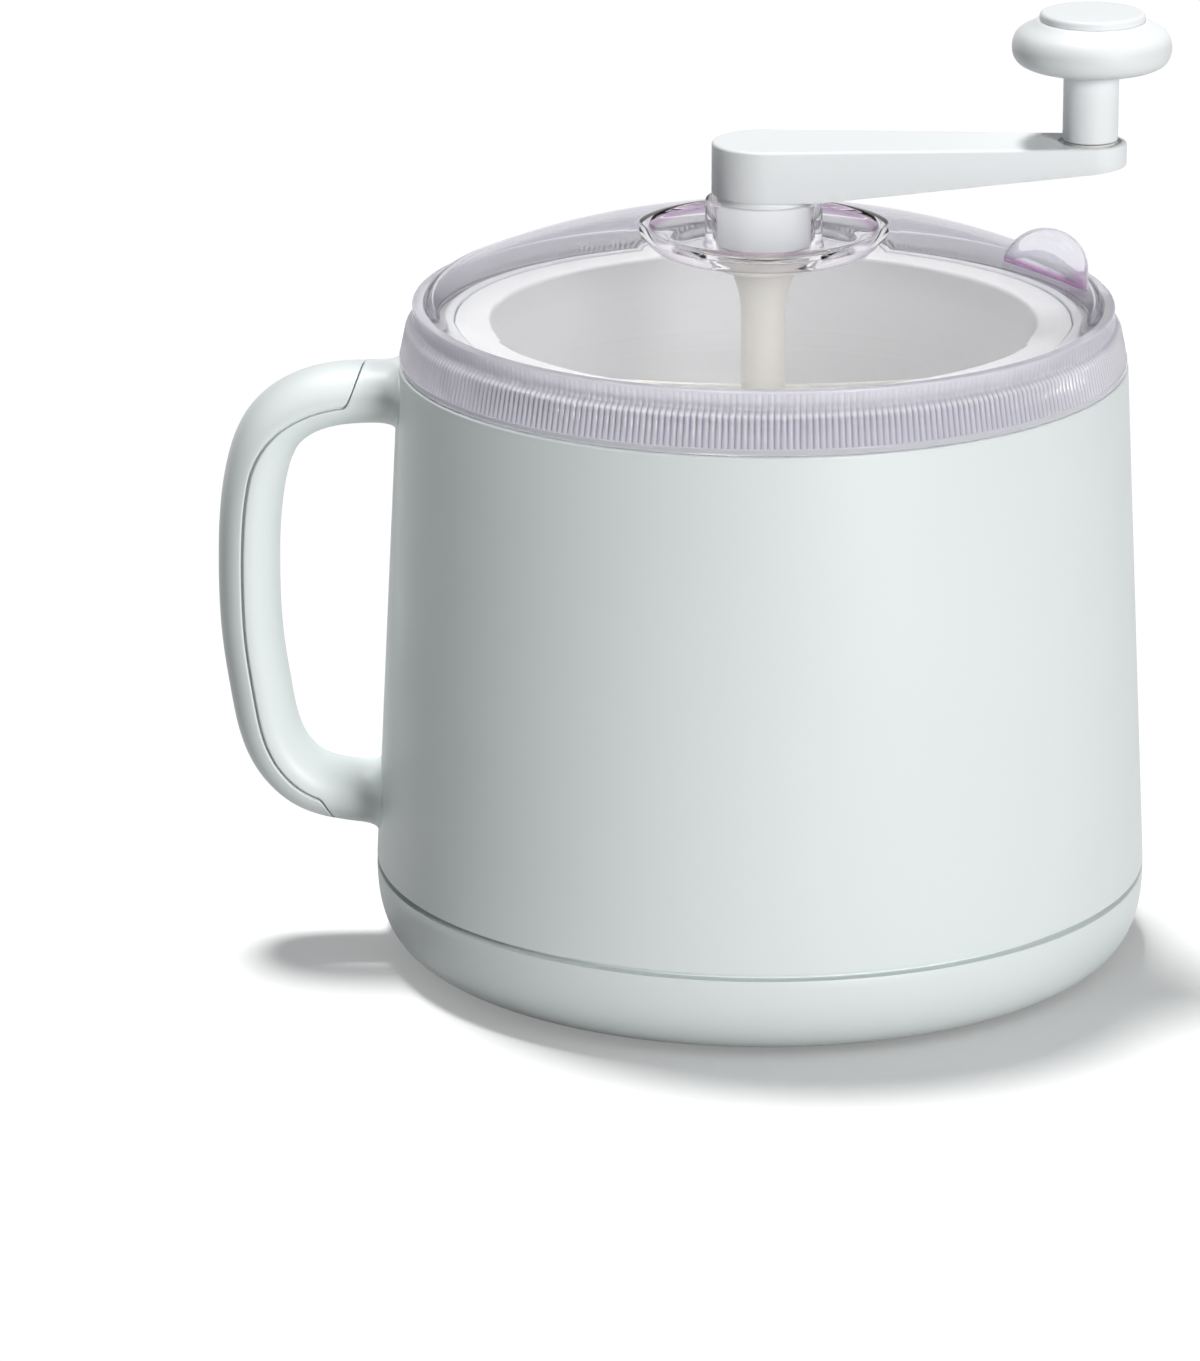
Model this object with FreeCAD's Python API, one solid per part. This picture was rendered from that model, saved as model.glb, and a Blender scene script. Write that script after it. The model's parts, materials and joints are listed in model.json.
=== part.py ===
import FreeCAD, Part
import math
import os

# Hand crank ice cream freezer: a mug shaped housing, a lift-out chill cylinder,
# a ribbed clamping ring, a domed lid, and a dasher turned by a crank on top.
# Lengths are in mm. The axis of the pot is Z, the table is z = 0, the handle is on -X.

# Fits and seats
seat_gap = 0.3
running_gap = 0.08
drop_in_gap = 0.3
flange_gap = 0.5
join = 1.0

# Chill cylinder: two drawn cans with a sealed fill between them
can_radius = 70.0
can_wall = 1.2
can_depth = 105.7
fill_side = 9.1
fill_floor = 17.6
can_lip = 9.0
rim_flange = 2.6
rim_plug = 2.3
rim_upstand = 2.7
plug_radius = 4.0
plug_offset = 45.0
plug_lip = 1.5
plug_head = 1.2
plug_room = 1.0
pivot_radius = 3.0
pivot_wall = 3.0
pivot_height = 4.0
pivot_floor = 0.8

# Housing
liner_clearance = 2.0
liner_wall = 2.0
liner_floor = 2.5
liner_floor_gap = 3.5
liner_flange = 1.6
rim_gasket_height = 0.9
neck_clearance = 1.0
neck_wall = 2.5
neck_height = 3.1
shell_wall = 2.5
shell_height = 132.9
shell_draft = 6.5
lug_count = 4
lug_depth = 1.4
lug_height = 1.4
lug_angle = 16.0
lug_phase = 290.0
foam_floor = 7.7

# Base cover, its screws and pads
base_height = 22.6
base_wall = 3.0
base_flat_radius = 80.0
base_fullness = 0.73
base_groove = 1.4
spigot_height = 4.4
recess_depth = 1.2
recess_inner = 24.0
recess_outer = 62.0
screw_count = 4
screw_circle = 50.0
screw_radius = 1.4
screw_length = 14.0
screw_head_radius = 3.7
screw_head_height = 2.2
screw_head_round = 0.6
screw_slot_length = 3.6
screw_slot_width = 0.9
screw_slot_depth = 1.2
post_radius = 4.5
boss_wall = 1.0
boss_height = 2.5
pad_count = 4
pad_circle = 71.0
pad_radius = 6.0
pad_depth = 2.0
pad_phase = 45.0

# Handle: an oval bar, split along its outer side into a moulded channel and a cover
handle_reach = 141.1
handle_top = 156.3
handle_bottom = 31.6
grip_depth = 16.0
grip_width = 22.0
grip_wall = 2.4
grip_bend = 25.5
upper_bend = [(1.0, 0.004), (0.608, 0.098), (0.286, 0.333), (0.098, 0.765)]
lower_bend = [(0.106, 1.14), (0.29, 0.482), (0.604, 0.157), (1.016, 0.039)]
grip_bow = [(0.3, 0.33), (0.0, 0.45), (0.7, 0.6)]
cover_depth = 6.5
cover_arm_depth = 9.5
cover_seam = 0.3
cover_top_end = 103.3
cover_bottom_end = 110.5
cover_end_rise = 5.5
cover_end_lean = 3.0
flare_side = 3.5
flare_rise = 1.2
flare_length = 5.0
peg_radius = 2.0
peg_pitch = 29.0
peg_gap = 1.0

# Ribbed clamping ring
shell_lip = 0.3
ring_wall = 2.2
ring_band = 1.5
ring_shoulder_in = 1.7
ring_step_in = 1.7
ring_step_height = 2.0
ring_upper_height = 4.4
ring_upper_wall = 2.9
ring_ledge = 0.6
lug_gap = 1.1
rib_count = 360
rib_depth = 0.45

# Domed lid with its dish, sleeve and thumb fin
lid_wall = 2.2
lid_gasket_height = 1.3
lid_skirt = 6.6
lid_edge_radius = 2.0
lid_dome = 18.1
dome_fall = [(0.2775, 0.188), (0.548, 0.401), (0.818, 0.671)]
dome_edge_slope = 0.42
dish_radius = 29.6
dish_depth = 5.2
sleeve_wall = 2.8
sleeve_height = 12.1
fin_centre = 72.4
fin_radius = 10.8
fin_height = 11.7
fin_thickness = 2.4
fin_dish = 0.5
fin_angle = -3.0
fin_shoulder = 1.5

# Dasher: stem, hexagonal drive and two-sided scraper frame
collar_radius = 11.7
collar_height = 6.6
stem_radius = 5.65
stem_root_radius = 8.5
stem_flare = 13.0
stem_flare_start = 0.4
drive_flats = 10.0
drive_height = 15.0
wall_gap = 1.0
floor_gap = 0.9
frame_height = 88.0
frame_thickness = 3.6
frame_bar = 7.0
frame_bars = 3
scraper_width = 9.0
scraper_thickness = 2.4
scraper_angle = 38.0
window_margin = 1.5
corner_radius = 4.0

# Crank
sleeve_fit_radius = 12.2
crank_length = 83.2
hub_radius = 13.5
hub_height = 13.5
tip_radius = 9.4
tip_height = 6.0
hub_lift = 1.5
crank_wall = 2.2
crank_skin = 2.6
crank_ribs = 3
crank_rib_wall = 1.6
crank_edge = 0.8
stem_recess = 0.6

# Knob and the pin it spins on
pin_radius = 2.9
pin_head_radius = 5.0
pin_head_height = 1.6
pin_head_round = 0.6
pin_head_sink = 1.0
pin_end = 1.0
washer_height = 0.8
washer_margin = 0.6
knob_stem_radius = 7.1
knob_stem_height = 17.9
knob_radius = 20.4
knob_height = 13.1
cap_radius = 13.5
cap_height = 2.2
cap_margin = 0.6
cap_plug = 2.0
clip_radius = 5.0
clip_height = 1.0
pocket_radius = 6.5
pocket_depth = 6.0

# Radii worked outwards from the can
can_outer_radius = can_radius + 2 * can_wall + fill_side
liner_radius = can_outer_radius + liner_clearance
neck_inner_radius = liner_radius + liner_wall + neck_clearance
neck_radius = neck_inner_radius + neck_wall
ring_radius = neck_radius + lug_depth + lug_gap + ring_wall
ring_shoulder_radius = ring_radius - ring_shoulder_in
ring_upper_radius = ring_shoulder_radius - ring_step_in
lid_radius = ring_upper_radius - ring_upper_wall - drop_in_gap
shell_top_radius = ring_radius + shell_lip
shell_bottom_radius = shell_top_radius + shell_draft

# Heights worked upwards from the table
shell_bottom = base_height + base_groove
shell_top = shell_bottom + shell_height
neck_top = shell_top + neck_height
liner_top = neck_top + liner_flange
gasket_top = liner_top + rim_gasket_height
flange_bottom = gasket_top + seat_gap
flange_top = flange_bottom + rim_flange
ledge_z = flange_top + seat_gap
ring_bottom = shell_top + seat_gap
ring_shoulder_z = ledge_z + ring_ledge
ring_step_z = ring_shoulder_z + ring_step_height
ring_top = ring_step_z + ring_upper_height
rim_top = flange_top + rim_upstand
can_top = rim_top - seat_gap
can_floor = can_top - can_depth
can_bottom = can_floor - 2 * can_wall - fill_floor
liner_floor_z = can_bottom - liner_floor_gap
lid_bottom = ledge_z + lid_gasket_height
lid_edge_z = lid_bottom + lid_skirt
dome_top = lid_edge_z + lid_edge_radius / 2 + lid_dome
dish_floor = dome_top - dish_depth
sleeve_top = dish_floor + sleeve_height
collar_top = dish_floor
collar_bottom = collar_top - collar_height
neck_end = collar_top + seat_gap
hub_bottom = sleeve_top + hub_lift
crank_top = hub_bottom + hub_height
stem_seat = crank_top - stem_recess
knob_bottom = stem_seat + washer_height + seat_gap
knob_disc_z = knob_bottom + knob_stem_height
knob_top = knob_disc_z + knob_height
tip_end = crank_length + tip_radius + join
pin_seat = crank_top - tip_height - pin_head_sink + pin_head_height
pocket_floor = knob_top - pocket_depth


def at(x, y, z):
    return FreeCAD.Vector(x, y, z)


UP = at(0, 0, 1)


def line(a, b):
    return Part.makeLine(at(a[0], 0, a[1]), at(b[0], 0, b[1]))


def curve(points):
    spline = Part.BSplineCurve()
    spline.interpolate([at(r, 0, z) for r, z in points])
    return spline.toShape()


def turned(edges):
    face = Part.Face(Part.Wire(edges))
    return face.revolve(at(0, 0, 0), UP, 360)


def turned_outline(points):
    closed = points + points[:1]
    return turned([line(a, b) for a, b in zip(closed, closed[1:])])


def cylinder(radius, low, high, x=0.0, y=0.0):
    return Part.makeCylinder(radius, high - low, at(x, y, low))


def around(count, radius, phase=0.0):
    steps = [math.radians(phase + 360.0 * i / count) for i in range(count)]
    return [(radius * math.cos(a), radius * math.sin(a)) for a in steps]


def shell_radius(z):
    return shell_bottom_radius - shell_draft * (z - shell_bottom) / shell_height


# Housing

def foot_curve(flat, side, low, high):
    # A cubic curve that leaves the flat underside level and meets the seam upright
    reach = base_fullness * (side - flat)
    rise = base_fullness * (high - low)
    poles = [(flat, low), (flat + reach, low), (side, high - rise), (side, high)]
    bezier = Part.BezierCurve()
    bezier.setPoles([at(r, 0, z) for r, z in poles])
    return bezier.toShape()


def base_cover():
    spigot = shell_bottom_radius - shell_wall - drop_in_gap
    spigot_inner = spigot - shell_wall
    inner_side = shell_bottom_radius - base_wall
    floor_top = base_wall + recess_depth
    spigot_top = base_height + spigot_height
    flat = base_flat_radius
    cup = turned([
        line((0, 0), (flat, 0)),
        foot_curve(flat, shell_bottom_radius, 0, base_height),
        line((shell_bottom_radius, base_height), (spigot, base_height)),
        line((spigot, base_height), (spigot, spigot_top)),
        line((spigot, spigot_top), (spigot_inner, spigot_top)),
        line((spigot_inner, spigot_top), (spigot_inner, base_height - base_wall)),
        foot_curve(flat, spigot_inner, floor_top, base_height - base_wall),
        line((flat, floor_top), (0, floor_top)),
        line((0, floor_top), (0, 0)),
    ])
    recess = cylinder(recess_outer, 0, recess_depth).cut(cylinder(recess_inner, 0, recess_depth))
    cup = cup.cut(recess)
    head_seat = recess_depth + screw_head_height + seat_gap
    for x, y in around(screw_count, screw_circle):
        cup = cup.fuse(cylinder(post_radius + boss_wall, floor_top - join, floor_top + boss_height, x, y))
        cup = cup.cut(cylinder(screw_head_radius + drop_in_gap, 0, head_seat, x, y))
        cup = cup.cut(cylinder(screw_radius + drop_in_gap, 0, floor_top + boss_height, x, y))
    for x, y in around(pad_count, pad_circle, pad_phase):
        cup = cup.cut(cylinder(pad_radius + drop_in_gap, 0, pad_depth, x, y))
    return cup.removeSplitter()


def base_screws():
    head_top = recess_depth + screw_head_height + seat_gap
    head_bottom = head_top - screw_head_height
    screws = []
    for x, y in around(screw_count, screw_circle):
        head = cylinder(screw_head_radius, head_bottom, head_top, x, y)
        head = head.makeFillet(screw_head_round, [head.Edges[2]])
        screw = head.fuse(cylinder(screw_radius, head_top, head_top + screw_length, x, y))
        cross = (screw_slot_length, screw_slot_width)
        for length, width in (cross, cross[::-1]):
            corner = at(x - length / 2, y - width / 2, head_bottom)
            screw = screw.cut(Part.makeBox(length, width, screw_slot_depth, corner))
        screws.append(screw)
    return Part.makeCompound(screws)


def base_pads():
    places = around(pad_count, pad_circle, pad_phase)
    return Part.makeCompound([cylinder(pad_radius, 0, pad_depth, x, y) for x, y in places])


def housing_liner():
    outer = liner_radius + liner_wall
    under = liner_floor_z - liner_floor
    cup = turned_outline([
        (0, under), (outer, under), (outer, neck_top), (neck_radius, neck_top),
        (neck_radius, liner_top), (liner_radius, liner_top), (liner_radius, liner_floor_z),
        (0, liner_floor_z),
    ])
    post_end = base_wall + recess_depth + boss_height
    for x, y in around(screw_count, screw_circle):
        post = cylinder(post_radius, post_end, under + liner_floor / 2, x, y)
        bore = cylinder(screw_radius + running_gap, post_end, post_end + screw_length, x, y)
        cup = cup.fuse(post).cut(bore)
    return cup


def insulation_foam():
    inner = liner_radius + liner_wall + seat_gap
    under = liner_floor_z - liner_floor
    low = under - foam_floor
    high = shell_top - shell_wall - seat_gap
    gap = shell_wall + seat_gap
    spigot_inner = shell_bottom_radius - 2 * shell_wall - 2 * drop_in_gap
    step = base_height + spigot_height + seat_gap
    foam = turned_outline([
        (0, low), (spigot_inner, low), (spigot_inner, step), (shell_radius(step) - gap, step),
        (shell_radius(high) - gap, high), (inner, high), (inner, under - seat_gap),
        (0, under - seat_gap),
    ])
    for x, y in around(screw_count, screw_circle):
        foam = foam.cut(cylinder(post_radius + drop_in_gap, low, under, x, y))
    return foam


def rim_gasket():
    return turned_outline([
        (liner_radius, liner_top), (neck_radius, liner_top),
        (neck_radius, gasket_top), (liner_radius, gasket_top),
    ])


def handle_points():
    # Centre line of the oval bar, from the upper joint out, down the grip and back.
    # The bends are shares of grip_bend, and the grip's bow is (mm inwards, share of the drop)
    top = handle_top - grip_depth / 2
    low = handle_bottom + grip_depth / 2
    out = handle_reach - grip_depth / 2
    sunk = 0.7 * shell_wall
    points = [(shell_radius(top) - sunk, top)]
    points += [(out - grip_bend * across, top - grip_bend * down) for across, down in upper_bend]
    points += [(out - inwards, top - share * (top - low)) for inwards, share in grip_bow]
    points += [(out - grip_bend * across, low + grip_bend * up) for across, up in lower_bend]
    return points + [(shell_radius(low) - sunk, low)]


def handle_curve():
    spline = Part.BSplineCurve()
    spline.interpolate([at(-r, 0, z) for r, z in handle_points()])
    return spline


def oval_bar(shrink):
    path = handle_curve()
    start = path.value(path.FirstParameter)
    side = start + at(0, grip_width / 2 - shrink, 0)
    top = start + at(0, 0, grip_depth / 2 - shrink)
    oval = Part.Wire(Part.Ellipse(side, top, start).toShape())
    return Part.Wire(path.toShape()).makePipeShell([oval], True, False)


def arm_flare(z):
    # The arm swells in a quarter round where it runs into the housing
    rings = []
    wall = shell_radius(z)
    for share in (-0.25, 0.0, 0.2, 0.5, 1.0):
        rest = min(1.0, 1.0 - share)
        swell = 1 - math.sqrt(1 - rest ** 2) + 0.01
        centre = at(-wall - share * flare_length, 0, z)
        side = centre + at(0, grip_width / 2 + flare_side * swell, 0)
        top = centre + at(0, 0, grip_depth / 2 + flare_rise * swell)
        rings.append(Part.Wire(Part.Ellipse(side, top, centre).toShape()))
    return Part.makeLoft(rings, True, False)


def smooth_share(value, start, end):
    share = min(1.0, max(0.0, (value - start) / (end - start)))
    return share * share * (3 - 2 * share)


def cover_region(inset):
    # The outer side of the parting line, which runs along the bar, lies deeper on the
    # upper arm, and turns outwards in a short S at both ends
    path = handle_curve()
    middle = (handle_top + handle_bottom) / 2
    first, last = path.FirstParameter, path.LastParameter
    points = []
    for step in range(3, 19):
        t = first + (last - first) * step / 20.0
        here = path.value(t)
        tangent = path.tangent(t)[0]
        raised = smooth_share(here.z, handle_top - grip_bend - grip_depth / 2, handle_top - grip_depth / 2)
        depth = cover_depth + (cover_arm_depth - cover_depth) * raised
        end = cover_top_end + 2 * cover_end_lean if here.z > middle else cover_bottom_end + cover_end_lean
        if -here.x > end:
            points.append(here + at(tangent.z, 0, -tangent.x) * (grip_depth / 2 - depth + inset))
    rise = handle_top + join
    drop = handle_bottom - join
    top_end = -cover_top_end - inset
    low_end = -cover_bottom_end - inset
    head = [at(top_end, 0, rise), at(top_end - cover_end_lean / 2, 0, rise - cover_end_rise)]
    tail = [at(low_end - cover_end_lean / 2, 0, drop + cover_end_rise / 2), at(low_end, 0, drop)]
    spline = Part.BSplineCurve()
    spline.interpolate(head + points + tail)
    far = -handle_reach - grip_depth
    corners = [tail[-1], at(far, 0, drop), at(far, 0, rise), head[0]]
    edges = [spline.toShape()]
    edges += [Part.makeLine(a, b) for a, b in zip(corners, corners[1:])]
    face = Part.Face(Part.Wire(edges))
    face.translate(at(0, -grip_width, 0))
    return face.extrude(at(0, 2 * grip_width, 0))


def peg_row(radius):
    middle = (handle_top + handle_bottom) / 2
    heights = [middle - peg_pitch, middle, middle + peg_pitch]
    length = 1.6 * grip_depth
    return [Part.makeCylinder(radius, length, at(-handle_reach, 0, z), at(1, 0, 0)) for z in heights]


def handle_tube():
    return oval_bar(0).cut(oval_bar(grip_wall))


def housing_shell():
    body = turned_outline([
        (shell_bottom_radius, shell_bottom), (shell_top_radius, shell_top),
        (neck_radius, shell_top), (neck_radius, neck_top), (neck_inner_radius, neck_top),
        (neck_inner_radius, shell_top - shell_wall),
        (shell_top_radius - shell_wall, shell_top - shell_wall),
        (shell_bottom_radius - shell_wall, shell_bottom),
    ])
    inside = turned_outline([
        (0, shell_bottom), (shell_bottom_radius - shell_wall / 2, shell_bottom),
        (shell_top_radius - shell_wall / 2, shell_top), (0, shell_top),
    ])
    channel = handle_tube()
    bar = oval_bar(0)
    hollow = oval_bar(grip_wall)
    for socket in peg_row(2 * peg_radius):
        channel = channel.fuse(socket.common(bar))
    for hole in peg_row(peg_radius + running_gap):
        channel = channel.cut(hole.common(hollow))
    channel = channel.cut(cover_region(0))
    above = cylinder(2 * shell_bottom_radius, shell_top, shell_top + grip_depth)
    for z in (handle_top - grip_depth / 2, handle_bottom + grip_depth / 2):
        flare = arm_flare(z).cut(above).cut(cover_region(0)).cut(inside).cut(hollow)
        body = body.fuse(flare)
    body = body.fuse(channel.cut(inside))
    rooted = neck_radius - neck_wall / 2
    reach = neck_radius + lug_depth
    low = neck_top - lug_height
    for turn in range(lug_count):
        lug = turned_outline([(rooted, low), (reach, low), (reach, neck_top), (rooted, neck_top)])
        lug = lug.common(Part.makeCylinder(2 * reach, neck_top, at(0, 0, 0), UP, lug_angle))
        lug.rotate(at(0, 0, 0), UP, lug_phase + turn * 360.0 / lug_count)
        body = body.fuse(lug)
    return body.removeSplitter()


def handle_cover():
    # The pegs stop short of the channel's floor, so that the cover closes first
    shell = handle_tube().common(cover_region(cover_seam))
    slim = oval_bar(grip_wall + peg_gap)
    for peg in peg_row(peg_radius):
        shell = shell.fuse(peg.common(slim))
    rest = oval_bar(0)
    for peg in peg_row(peg_radius):
        shell = shell.fuse(peg.common(rest).common(cover_region(cover_seam)))
    return shell.removeSplitter()


# Chill cylinder

def cylinder_inner_can():
    outer = can_radius + can_wall
    under = can_floor - can_wall
    lip = outer + can_lip - can_wall
    return turned_outline([
        (0, under), (outer, under), (outer, can_top - can_wall), (lip, can_top - can_wall),
        (lip, can_top), (can_radius, can_top), (can_radius, can_floor), (0, can_floor),
    ])


def cylinder_outer_can():
    inner = can_outer_radius - can_wall
    can = turned_outline([
        (0, can_bottom), (can_outer_radius, can_bottom), (can_outer_radius, flange_bottom),
        (inner, flange_bottom), (inner, can_bottom + can_wall), (0, can_bottom + can_wall),
    ])
    hole = cylinder(plug_radius + running_gap, can_bottom, can_bottom + can_wall, plug_offset)
    return can.cut(hole)


def refrigerant_fill():
    inner = can_radius + can_wall + seat_gap
    outer = can_outer_radius - can_wall - seat_gap
    low = can_bottom + can_wall + seat_gap
    under = can_floor - can_wall - seat_gap
    high = flange_bottom - rim_plug - seat_gap
    fill = turned_outline([
        (0, low), (outer, low), (outer, high), (inner, high), (inner, under), (0, under),
    ])
    return fill.cut(cylinder(plug_radius + plug_room, low, low + plug_lip + plug_room, plug_offset))


def cylinder_rim():
    inner = can_radius + can_wall + seat_gap
    plug = can_outer_radius - can_wall - seat_gap
    lip = can_radius + can_lip + seat_gap
    wall = lip + rim_upstand
    flange = ring_shoulder_radius - ring_wall - flange_gap
    low = flange_bottom - rim_plug
    return turned_outline([
        (inner, low), (plug, low), (plug, flange_bottom), (flange, flange_bottom),
        (flange, flange_top), (wall, flange_top), (wall, rim_top), (lip, rim_top),
        (lip, can_top - can_wall), (inner, can_top - can_wall),
    ])


def fill_plug():
    head = cylinder(plug_radius + plug_lip, can_bottom - plug_head, can_bottom, plug_offset)
    return head.fuse(cylinder(plug_radius, can_bottom, can_bottom + can_wall + plug_lip, plug_offset))


def pivot_cup():
    cup = cylinder(pivot_radius + pivot_wall, can_floor, can_floor + pivot_height)
    return cup.cut(cylinder(pivot_radius + running_gap, can_floor + pivot_floor, can_floor + pivot_height))


# Clamping ring

def ribbed(radius, z):
    points = []
    for i in range(2 * rib_count):
        angle = math.pi * i / rib_count
        r = radius - rib_depth * (i % 2)
        points.append(at(r * math.cos(angle), r * math.sin(angle), z))
    return Part.makePolygon(points + points[:1])


def grip_ring():
    # Ribs climb the lower band, fold over the shoulder and climb the upper band
    band_top = ring_bottom + ring_band
    sections = [(ring_radius, band_top), (ring_shoulder_radius, ring_shoulder_z),
                (ring_upper_radius, ring_step_z), (ring_upper_radius, ring_top)]
    ribs = Part.makeLoft([ribbed(r, z) for r, z in sections], True, True)
    band = cylinder(ring_radius, ring_bottom, band_top)
    upper_inner = ring_upper_radius - ring_upper_wall
    bore = turned_outline([
        (0, ring_bottom), (ring_radius - ring_wall, ring_bottom),
        (ring_shoulder_radius - ring_wall, ledge_z), (upper_inner, ledge_z),
        (upper_inner, ring_top), (0, ring_top),
    ])
    return ribs.cut(bore).fuse(band.cut(bore))


# Lid

def dome_points(drop, short=0.0):
    # Points (share of the way out, share of the fall); the last lies short of the edge
    fall = dome_top - lid_edge_z
    edge = lid_radius - lid_edge_radius
    run = edge - dish_radius
    points = [(dish_radius, dome_top - drop)]
    points += [(dish_radius + out * run, dome_top - down * fall - drop) for out, down in dome_fall]
    last = lid_edge_z + 1.06 * lid_edge_radius + dome_edge_slope * short - drop
    return points + [(edge - short, last)]


def lid():
    # Walked from the skirt's foot up the outside, over the dome, through the dish and back
    outer = dome_points(0)
    inner = dome_points(lid_wall, 0.7 * lid_edge_radius)
    sleeve_outer = sleeve_fit_radius + sleeve_wall
    skirt_inner = lid_radius - lid_wall
    edge_low = lid_edge_z - lid_edge_radius * 0.6
    edge_mid = (lid_radius - 0.28 * lid_edge_radius, lid_edge_z + 0.45 * lid_edge_radius)
    inner_low = edge_low - 0.1 * lid_wall
    inner_mid = (skirt_inner - 0.15 * lid_edge_radius, lid_edge_z - 0.1 * lid_wall)
    width = dish_radius - sleeve_outer
    dish = [(dish_radius, dome_top), (dish_radius - 0.18 * width, dome_top - 0.62 * dish_depth),
            (dish_radius - 0.51 * width, dome_top - 0.93 * dish_depth), (sleeve_outer, dish_floor)]
    low = dish_floor - lid_wall
    under = [(sleeve_fit_radius, low), (dish_radius - 0.48 * width, low + 0.14 * lid_wall),
             (dish_radius - 0.11 * width, low + 0.5 * lid_wall),
             (dish_radius + lid_wall, inner[0][1] - 0.14 * lid_wall)]
    top = sleeve_top
    body = turned([
        line((skirt_inner, lid_bottom), (lid_radius, lid_bottom)),
        line((lid_radius, lid_bottom), (lid_radius, edge_low)),
        curve([(lid_radius, edge_low), edge_mid, outer[-1]]),
        curve(outer[::-1]),
        curve(dish),
        line((sleeve_outer, dish_floor), (sleeve_outer, top)),
        line((sleeve_outer, top), (sleeve_fit_radius, top)),
        line((sleeve_fit_radius, top), (sleeve_fit_radius, low)),
        curve(under),
        curve([under[-1]] + inner[1:]),
        curve([inner[-1], inner_mid, (skirt_inner, inner_low)]),
        line((skirt_inner, inner_low), (skirt_inner, lid_bottom)),
    ])
    return body.fuse(thumb_fin()).removeSplitter()


def dome_height(r):
    spline = Part.BSplineCurve()
    spline.interpolate([at(x, 0, z) for x, z in dome_points(0)])
    return spline.value(spline.parameter(at(r, 0, dome_top - 0.25 * (r - dish_radius)))).z


def thumb_fin():
    # A half round fin that stands on the dome along a radius, dished on both faces
    low_end = fin_centre - fin_radius
    high_end = fin_centre + fin_radius
    root = dome_height(fin_centre)
    sink = lid_wall / 2
    foot_in = at(low_end, 0, dome_height(low_end) - sink)
    foot_out = at(high_end, 0, dome_height(high_end) - sink)
    shoulder_in = at(low_end, 0, dome_height(low_end) + 0.2 * fin_shoulder)
    shoulder_out = at(high_end, 0, root + fin_shoulder)
    crown = at(fin_centre, 0, root + fin_height)
    edges = [
        Part.makeLine(foot_in, shoulder_in),
        Part.Arc(shoulder_in, crown, shoulder_out).toShape(),
        Part.makeLine(shoulder_out, foot_out),
        Part.makeLine(foot_out, foot_in),
    ]
    face = Part.Face(Part.Wire(edges))
    face.translate(at(0, -fin_thickness / 2, 0))
    fin = face.extrude(at(0, fin_thickness, 0))
    ball = 8 * fin_radius
    for side in (-1, 1):
        centre = at(fin_centre, side * (fin_thickness / 2 - fin_dish + ball), root + fin_height / 2)
        fin = fin.cut(Part.makeSphere(ball, centre))
    fin.rotate(at(0, 0, 0), UP, fin_angle)
    return fin


def lid_gasket():
    inner = lid_radius - lid_wall
    return turned_outline([
        (inner, ledge_z), (lid_radius, ledge_z), (lid_radius, lid_bottom), (inner, lid_bottom),
    ])


# Dasher

def rounded_window(x_low, x_high, z_low, z_high):
    box = Part.makeBox(x_high - x_low, 4 * frame_thickness, z_high - z_low,
                       at(x_low, -2 * frame_thickness, z_low))
    upright = [e for e in box.Edges if abs(e.Vertexes[0].Y - e.Vertexes[1].Y) > frame_thickness]
    return box.makeFillet(corner_radius, upright)


def scraper_frame():
    reach = can_radius - wall_gap
    low = can_floor + floor_gap
    half = reach - join
    plate = Part.makeBox(2 * half, frame_thickness, frame_height, at(-half, -frame_thickness / 2, low))
    gaps = frame_bars - 1
    step = (frame_height - frame_bar) / gaps
    for row in range(gaps):
        z_low = low + frame_bar + row * step
        z_high = low + (row + 1) * step
        inner = stem_radius + window_margin
        outer = reach - scraper_width
        plate = plate.cut(rounded_window(inner, outer, z_low, z_high))
        plate = plate.cut(rounded_window(-outer, -inner, z_low, z_high))
    round_wall = cylinder(reach, low, low + frame_height)
    for side in (1, -1):
        lip = Part.makeBox(scraper_width, scraper_thickness, frame_height, at(-scraper_width, 0, low))
        lip.rotate(at(0, 0, 0), UP, -scraper_angle)
        lip.translate(at(reach - join / 2, -scraper_thickness, 0))
        if side < 0:
            lip.rotate(at(0, 0, 0), UP, 180)
        plate = plate.fuse(lip.common(round_wall))
    return plate


def hexagon(flats, low, high):
    points = [at(x, y, low) for x, y in around(6, flats / math.sqrt(3))]
    face = Part.Face(Part.makePolygon(points + points[:1]))
    return face.extrude(at(0, 0, high - low))


def dasher():
    cup_top = can_floor + pivot_height + seat_gap
    flare_low = collar_bottom - stem_flare
    stem = turned([
        line((0, cup_top), (stem_radius, cup_top)),
        line((stem_radius, cup_top), (stem_radius, flare_low)),
        curve([(stem_radius, flare_low), (stem_radius + stem_flare_start, flare_low + 0.4 * stem_flare),
               (stem_root_radius, collar_bottom)]),
        line((stem_root_radius, collar_bottom), (collar_radius, collar_bottom)),
        line((collar_radius, collar_bottom), (collar_radius, collar_top)),
        line((collar_radius, collar_top), (0, collar_top)),
        line((0, collar_top), (0, cup_top)),
    ])
    pin = cylinder(pivot_radius, can_floor + pivot_floor + seat_gap, cup_top)
    cup_room = cylinder(pivot_radius + pivot_wall + flange_gap, can_floor, cup_top)
    drive = hexagon(drive_flats, collar_top, collar_top + drive_height)
    body = scraper_frame().cut(cup_room).fuse(stem).fuse(pin).fuse(drive)
    return body.removeSplitter()


# Crank and knob

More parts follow.
